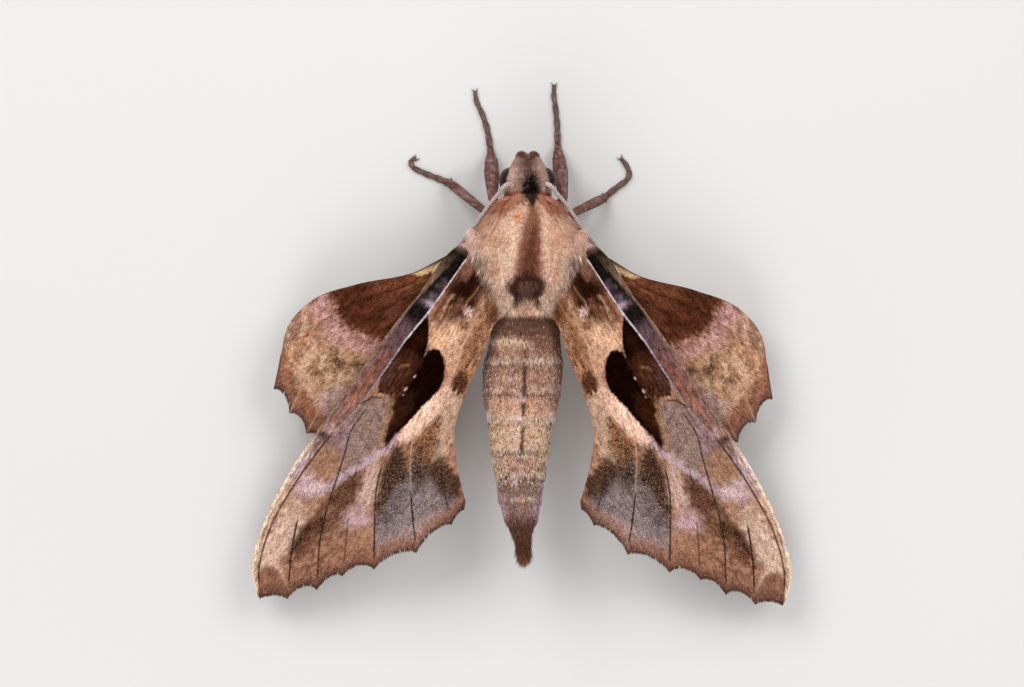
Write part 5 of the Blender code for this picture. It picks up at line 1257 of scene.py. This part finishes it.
# Hair on the wings: cilia along the scalloped margins, and long grey-tan hair that runs from the tegulae over
# the forewing roots and along their inner edges.
FRINGE_TUFTS, ROOT_TUFTS, TEGULA_TUFTS = 2000, 9800, 3000
TEGULA_PLACE, TEGULA_RADII = (6.2, -11.7, 11.95), np.array((1.1, 1.5, 0.6))
TEGULA_PINK, TEGULA_BROWN, TEGULA_CREAM = (0.9, 0.575, 0.505), (0.74, 0.46, 0.36), (0.86, 0.57, 0.42)
LOCK_GREY, LOCK_BROWN, INNER_TAN = (0.74, 0.52, 0.38), (0.29, 0.19, 0.145), (0.72, 0.5, 0.38)
ROOT_SPOT = (0.17, 0.095, 0.068)


def wing_fringe(word, kind, seed):
    """Cilia roots spread along the margin, each pointing out along the surface from its own row."""
    upper, colours = wing_tops[kind, word]
    draw = np.random.default_rng(seed)
    edge, inner = upper[:, -1], upper[:, -4]
    spot = draw.random(FRINGE_TUFTS) * (len(edge) - 1.001)
    low = np.floor(spot).astype(int)
    t = (spot - low)[:, None]
    roots = edge[low] * (1 - t) + edge[low + 1] * t
    heading = roots - (inner[low] * (1 - t) + inner[low + 1] * t)
    tint = (colours[low, -1] * (1 - t) + colours[low + 1, -1] * t) * draw.normal(0.85, 0.15, FRINGE_TUFTS)[:, None]
    drop = np.array((0.0, 0.0, MEMBRANE[0])) * draw.random(FRINGE_TUFTS)[:, None]
    unwrap = np.stack([BAKE_EDGE + BAKE_SPAN * spot / len(edge), 0.02 + 0.9 * draw.random(FRINGE_TUFTS)], axis=1)
    return roots - drop, heading, tint, draw.uniform(0.28, 0.5, FRINGE_TUFTS), unwrap


fringes = [wing_fringe(word, kind, 100 + number) for number, (word, kind) in
           enumerate((word, kind) for word in SIDES for kind in wing_grids)]
roots, heading, tint, length, unwrap = (np.concatenate(parts) for parts in zip(*fringes))
upward = np.broadcast_to(np.array((0.0, 0.0, 1.0)), roots.shape)
grow_tufts("coat_wing_fringes", roots, upward, heading, length, np.full(len(roots), 0.085), 0.02, 0.1,
           np.clip(tint, 0, 1), unwrap, hair_finish, "forewing_scale")


def tegula(number, word, side):
    """One tegula: a low dome of skin over the wing's hinge, under pink hair that leans to the rear."""
    dome = mirrored([TEGULA_PLACE], side)[0] + ball_rings((0, 0, 0), 1.0, 40, 56) * TEGULA_RADII
    points, faces = closed_rings(dome)
    # Painted shade: the plate shows only between its hairs and is their pink darkened to 0.7.
    make_piece(f"tegula_{word}_plate", points, faces, skin_finish,
               plain(np.array(TEGULA_PINK) * 0.7, points[:, 0]))
    draw = np.random.default_rng(140 + number)
    spots = draw.normal(0, 1, (TEGULA_TUFTS, 3))
    spots[:, 2] = np.abs(spots[:, 2])
    spots = unit(spots)
    outward = unit(spots / TEGULA_RADII)
    roots = mirrored([TEGULA_PLACE], side)[0] + spots * TEGULA_RADII * 0.97
    ahead = np.stack([side * 0.22 + 0.3 * spots[:, 0] + draw.normal(0, 0.28, TEGULA_TUFTS), np.ones(TEGULA_TUFTS),
                      np.full(TEGULA_TUFTS, -0.25)], axis=1)
    tone = ramp(cloud(roots[:, 0], roots[:, 1] / 1.6, 0.35, 145), 0.35, 0.75)[:, None]
    tint = np.array(TEGULA_PINK) * tone + np.array(TEGULA_BROWN) * (1 - tone)
    inner = ramp(-side * spots[:, 0] + draw.normal(0, 0.25, TEGULA_TUFTS), 0.1, 0.7)[:, None]
    tint = tint * (1 - inner) + np.array(TEGULA_CREAM) * inner
    tint = tint * draw.normal(1.12, 0.18, TEGULA_TUFTS)[:, None]
    unwrap = np.stack([0.5 + 0.45 * spots[:, 0], 0.5 + 0.45 * spots[:, 1]], axis=1)
    grow_tufts(f"coat_tegula_{word}", roots, outward, ahead,
               draw.uniform(0.6, 1.1, TEGULA_TUFTS) * np.where(side * spots[:, 0] > 0.2, 0.8, 1.6),
               np.full(TEGULA_TUFTS, 0.075), 0.12, 0.1, np.clip(tint, 0, 1), unwrap, hair_finish, "thorax_coat")


def root_hair(number, word, side):
    """Hair over one forewing's root: grey and brown locks along the wing, turning pale at its inner edge."""
    draw = np.random.default_rng(120 + number)
    u = -0.8 + 8.0 * draw.random(ROOT_TUFTS) ** 1.3
    v = 0.2 + 7.6 * draw.random(ROOT_TUFTS)
    low_edge = np.interp(u, (-0.9, 1.6, 2.6, 4.2, 7.5), (2.6, 0.9, 2.4, 4.4, 6.2))
    high_edge = np.interp(u, (-0.9, 4.2, 7.0, 12.0), (6.5, 7.9, 7.4, 8.1))
    picked = (v > low_edge) & (v < high_edge)
    u, v = u[picked], v[picked]
    roots = wing_place("forewing", word, u, v) + (0.0, 0.0, MEMBRANE[0] - 0.02)
    ahead = wing_place("forewing", word, u + 0.5, v + 0.16 + 0.05 * draw.normal(0, 1, len(u)))
    zero = np.zeros(len(u), int) - 1
    tint, _ = forewing_colour(u, v, zero, zero * 0.0 + 0.1)
    grey = ramp(cloud(u / 3.0, v, 0.28, 130), 0.42, 0.6)[:, None]
    near = (1 - ramp(u, 2.0, 5.5))[:, None] * 0.85
    hair = np.array(LOCK_GREY) * grey + np.array(LOCK_BROWN) * (1 - grey)
    tint = tint * (1 - near) + hair * near
    if side > 0:
        tint = tint + (np.array(ROOT_SPOT) - tint) * blot(u, v, (3.8, 3.9), (0.9, 1.3), 0.6)[:, None] * 0.8
    inward = (ramp(v - 1.6 - 1.05 * u, -0.9, 0.5) * (1 - ramp(u, 6.0, 8.0)))[:, None] * 0.9
    tint = (tint * (1 - inward) + np.array(INNER_TAN) * inward) * draw.normal(1.0, 0.24, len(u))[:, None]
    length = np.interp(u, (-1, 3, 7), (1.7, 1.3, 0.7)) * draw.uniform(0.7, 1.2, len(u))
    unwrap = np.stack([0.05 + 0.1 * (u + 1), 0.05 + 0.1 * v], axis=1)
    grow_tufts(f"coat_wing_root_{word}", roots, np.tile((0.0, 0.0, 1.0), (len(u), 1)), ahead - roots, length,
               np.full(len(u), 0.1), 0.16, 0.1, np.clip(tint, 0, 1), unwrap, hair_finish, "forewing_scale")


for number, (word, side) in enumerate(SIDES.items()):
    tegula(number, word, side)
    root_hair(number, word, side)

# Legs: jointed chitin tubes clad in purplish scales. Femur and tibia swell and narrow at the knee and ankle,
# five tarsomeres lie flat on their soles, with spurs on the hinder tibiae and a pair of claws at each end.
LEG_SIDES, LEG_STEP = 24, 0.12
SOLE_RATIO = 0.55
TARSUS_RADII, TARSOMERES = (0.4, 0.27), 5
FORELEG_TIBIA = ((0.0, 0.5), (0.25, 0.72), (0.55, 0.92), (0.8, 0.8), (1.0, 0.48))
HINDER_TIBIA = ((0.0, 0.46), (0.25, 0.5), (0.55, 0.56), (0.8, 0.58), (1.0, 0.46))
FEMUR = ((0.0, 0.72), (0.35, 0.8), (0.75, 0.64), (0.95, 0.52))
LEGS = {
    ("foreleg", "left"): ((1.7, -13.6, 5.6), (4.15, -17.1, 5.7), (4.35, -22.7, 0.9),
                          ((4.55, -24.2), (4.9, -26.1), (5.5, -27.9), (6.1, -29.1), (6.35, -30.75))),
    ("foreleg", "right"): ((1.7, -13.6, 5.6), (4.45, -17.2, 5.7), (3.8, -23.1, 0.9),
                           ((3.75, -25.5), (3.65, -27.2), (3.5, -28.6), (3.3, -29.8), (3.35, -31.42))),
    ("midleg", "left"): ((2.3, -10.3, 5.0), (5.1, -15.7, 6.3), (9.4, -19.3, 0.9),
                         ((11.4, -20.1), (13.3, -20.9), (14.2, -21.5), (14.15, -22.1), (13.3, -22.35))),
    ("midleg", "right"): ((2.3, -10.3, 5.0), (5.4, -15.4, 6.3), (9.3, -17.4, 0.9),
                          ((11.0, -18.8), (12.5, -20.1), (12.4, -21.0), (12.0, -21.7), (11.3, -22.5))),
    ("hindleg", "left"): ((2.5, -7.2, 5.2), (6.6, -2.0, 6.5), (8.9, 4.2, 0.9),
                          ((9.2, 6.2), (9.4, 8.0), (9.7, 9.6), (9.9, 11.0), (10.3, 12.4))),
    ("hindleg", "right"): ((2.5, -7.2, 5.2), (6.7, -2.2, 6.5), (9.2, 3.8, 0.9),
                           ((9.6, 5.7), (9.9, 7.5), (10.1, 9.1), (10.5, 10.5), (10.8, 11.9))),
}
CLAW_LENGTH, SPUR_LENGTH = 0.62, 1.15
LEG_TUFTS = 2700


def leg_line(root, knee, ankle, tarsus, tibia):
    """Centre line, radii and a joint mask of one leg: straight femur and tibia, then the tarsus on the floor."""
    root, knee, ankle = (np.array(point, float) for point in (root, knee, ankle))
    path = [root + (knee - root) * place for place, _ in FEMUR]
    path += [knee + (ankle - knee) * place for place, _ in tibia]
    radii = [radius for _, radius in FEMUR] + [radius for _, radius in tibia]
    toes = np.linspace(0, 1, 2 * TARSOMERES)
    thickness = TARSUS_RADII[0] + (TARSUS_RADII[1] - TARSUS_RADII[0]) * toes
    thickness *= np.where(np.arange(2 * TARSOMERES) % 2, 1.06, 0.86)
    ground = along_curve(np.array([ankle[:2], *tarsus]), np.linspace(0.1, 1.0, 2 * TARSOMERES))
    path += [(x, y, SOLE_RATIO * radius) for (x, y), radius in zip(ground, thickness)]
    radii += list(thickness)
    path, radii = np.array(path), np.array(radii)
    lengths = np.concatenate([[0.0], np.cumsum(np.linalg.norm(np.diff(path, axis=0), axis=1))])
    places = np.arange(0.0, lengths[-1], LEG_STEP)
    fine = np.stack([np.interp(places, lengths, path[:, k]) for k in range(3)], axis=1)
    blend = np.stack([np.convolve(np.pad(fine[:, k], 3, mode="edge"), np.ones(7) / 7, "valid") for k in range(3)],
                     axis=1)
    size = np.interp(places, lengths, radii)
    joints = np.concatenate([[lengths[len(FEMUR) - 1] + 0.1, lengths[len(FEMUR) + len(tibia) - 1] + 0.25],
                             lengths[len(FEMUR) + len(tibia)::2]])
    crease = np.exp(-((places[:, None] - joints[None]) / 0.13) ** 2).max(axis=1)
    size = size * (1 - 0.2 * crease)
    size[-4:] *= (0.95, 0.8, 0.55, 0.2)
    return blend, size, crease, places / lengths[-1]


def leg_colour(points, share):
    """Purplish brown scales with grey and pink flecks, paler on the tarsus, dark at the soles."""
    grain = cloud(points[:, 0] * 1.3 + points[:, 2], points[:, 1], 0.3, 141)
    colour = plain((0.22, 0.1, 0.085), points[:, 0])
    colour = lay(colour, ramp(grain, 0.5, 0.85) * 0.6, (0.4, 0.265, 0.25))
    colour = lay(colour, (1 - ramp(grain, 0.15, 0.42)) * 0.6, (0.08, 0.033, 0.027))
    colour = lay(colour, ramp(share, 0.62, 0.78) * 0.7, (0.21, 0.14, 0.115))
    return lay(colour, 1 - ramp(points[:, 2], 0.02, 0.25), (0.13, 0.07, 0.055))


def spine_rings(root, heading, length, radius, droop, rows=10):
    """Rings of a curved spine: radius shrinks by the square root of what is left, the path bends down by t^2."""
    t = np.linspace(0, 1, rows)[:, None]
    path = np.asarray(root) + np.asarray(heading) * length * t + np.array((0, 0, -droop)) * t**2
    return swept_rings(path, radius * np.sqrt(np.clip(1 - t[:, 0], 0.003, 1)), 10, (0.31, 0.17, 0.94))


def claws_and_spurs(kind, word, line, plan):
    """Two claws at the end of a leg and, on the hinder legs, two spurs near the ankle, joined in one piece."""
    ahead = line[-1] - line[-12]
    ahead[2] = 0.0
    ahead = unit(ahead)
    across = np.cross(ahead, (0.0, 0.0, 1.0))
    spines = [spine_rings(line[-1] - ahead * 0.3 + across * lean * 0.08 + (0, 0, 0.12), ahead + across * lean * 0.5,
                          CLAW_LENGTH, 0.09, 0.1) for lean in (-1, 1)]
    if kind != "foreleg":
        knee, ankle = (mirrored([plan[k]], SIDES[word])[0] for k in (1, 2))
        shin = unit(ankle - knee)
        beside = unit(np.cross(shin, (0.0, 0.0, 1.0)))
        spines += [spine_rings(ankle - shin * 0.55, shin * 0.85 + beside * lean * 0.6, SPUR_LENGTH, 0.16, 0.0)
                   for lean in (-1, 1)]
    parts = [closed_rings(spine) for spine in spines]
    offsets = np.cumsum([0] + [len(part[0]) for part in parts[:-1]])
    points = np.concatenate([part[0] for part in parts])
    faces = [np.concatenate([part[1][k] + offset for part, offset in zip(parts, offsets)]) for k in (0, 1)]
    points[:, 2] = np.maximum(points[:, 2], 0.01)
    make_piece(f"{kind}_{word}_claws", points, faces, claw_finish,
               plain((0.085, 0.04, 0.03), points[:, 0]))


leg_finish = coat_finish("leg_scales", 0.62, cells=11000.0, contrast=0.55, gold=0.12, bump=0.3)
claw_finish = coat_finish("claw_horn", 0.35, cells=20000.0, contrast=0.15, gold=0.0, bump=0.05,
                          specular=0.5)
for number, ((kind, word), plan) in enumerate(LEGS.items()):
    tibia = FORELEG_TIBIA if kind == "foreleg" else HINDER_TIBIA
    line, size, crease, share = leg_line(*plan, tibia)
    line = mirrored(line, SIDES[word])
    rings = swept_rings(line, size, LEG_SIDES)
    rings[..., 2] = np.maximum(rings[..., 2], 0.0)
    points, faces = closed_rings(rings)
    place = np.concatenate([np.repeat(share, LEG_SIDES), [0, 1]])
    dark = np.concatenate([np.repeat(crease, LEG_SIDES), [0, 0]])
    # Painted shade: the leg's skin shows only between its tufts and is darkened to 0.85.
    colour = lay(leg_colour(points, place), dark * 0.65, (0.07, 0.034, 0.028)) * 0.85
    leg = make_piece(f"{kind}_{word}_skin", points, faces, leg_finish, colour)
    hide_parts(f"{kind}_{word}")
    tuft_coat(f"coat_{kind}_{word}", rings, LEG_TUFTS, 150 + number, 0.38, 0.07, leg_colour, "leg_scale",
              hair_finish, 0.2, (0.04, 0.985), lambda at, out: at[:, 2] > 0.16)
    claws_and_spurs(kind, word, line, plan)

# Stage: a pale matt floor, a soft room with three lamps round it, and the camera above the back, which it
# sees with a long lens.
FLOOR_SIZE = 1.6
CAMERA_PLACE = (0.00109, 0.00026, 0.61)
CAMERA_LENS = 175.8
LIGHTS = (
    ("light_front_left", (0.35, -0.4, 0.55), 0.42, 2.6),
    ("light_front_right", (-0.4, -0.3, 0.5), 0.42, 1.7),
    ("light_rear", (0.1, 0.5, 0.45), 0.42, 1.5),
)


def floor_finish():
    """Warm white paper with a faint mottle."""
    material, tree, shader = new_finish("pale_floor", 0.9, 0.1)
    place = node(tree, "ShaderNodeTexCoord", {}).outputs["Object"]
    mottle = node(tree, "ShaderNodeTexNoise", {"Scale": 9.0, "Detail": 3.0, "Vector": place})
    tone = node(tree, "ShaderNodeValToRGB", {"Fac": mottle.outputs["Fac"]})
    tone.color_ramp.elements[0].color = (0.7, 0.69, 0.67, 1.0)
    tone.color_ramp.elements[1].color = (0.76, 0.75, 0.73, 1.0)
    tree.links.new(tone.outputs["Color"], shader.inputs["Base Color"])
    return material


half = FLOOR_SIZE / 2
floor_mesh = bpy.data.meshes.new("floor")
floor_mesh.from_pydata([(-half, -half, 0), (half, -half, 0), (half, half, 0), (-half, half, 0)], [], [(0, 1, 2, 3)])
floor_mesh.materials.append(floor_finish())
floor = bpy.data.objects.new("floor", floor_mesh)
bpy.context.scene.collection.objects.link(floor)

world = bpy.data.worlds.new("soft_room")
world.use_nodes = True
world.node_tree.nodes["Background"].inputs["Color"].default_value = (0.96, 0.97, 1.0, 1.0)
world.node_tree.nodes["Background"].inputs["Strength"].default_value = 0.5
bpy.context.scene.world = world
for name, place, size, power in LIGHTS:
    lamp = bpy.data.lights.new(name, "AREA")
    lamp.size = size
    lamp.energy = power
    light = bpy.data.objects.new(name, lamp)
    light.location = place
    aim = np.array(place)
    light.rotation_euler = (math.acos(aim[2] / np.linalg.norm(aim)), 0.0, math.atan2(aim[1], aim[0]) + math.pi / 2)
    bpy.context.scene.collection.objects.link(light)

lens = bpy.data.cameras.new("camera")
lens.lens = CAMERA_LENS
lens.sensor_width = 36.0
lens.clip_start = 0.01
camera = bpy.data.objects.new("camera", lens)
camera.location = CAMERA_PLACE
camera.rotation_euler = (0.0, 0.0, math.pi)
bpy.context.scene.collection.objects.link(camera)
bpy.context.scene.camera = camera
bpy.context.scene.view_settings.view_transform = "Standard"
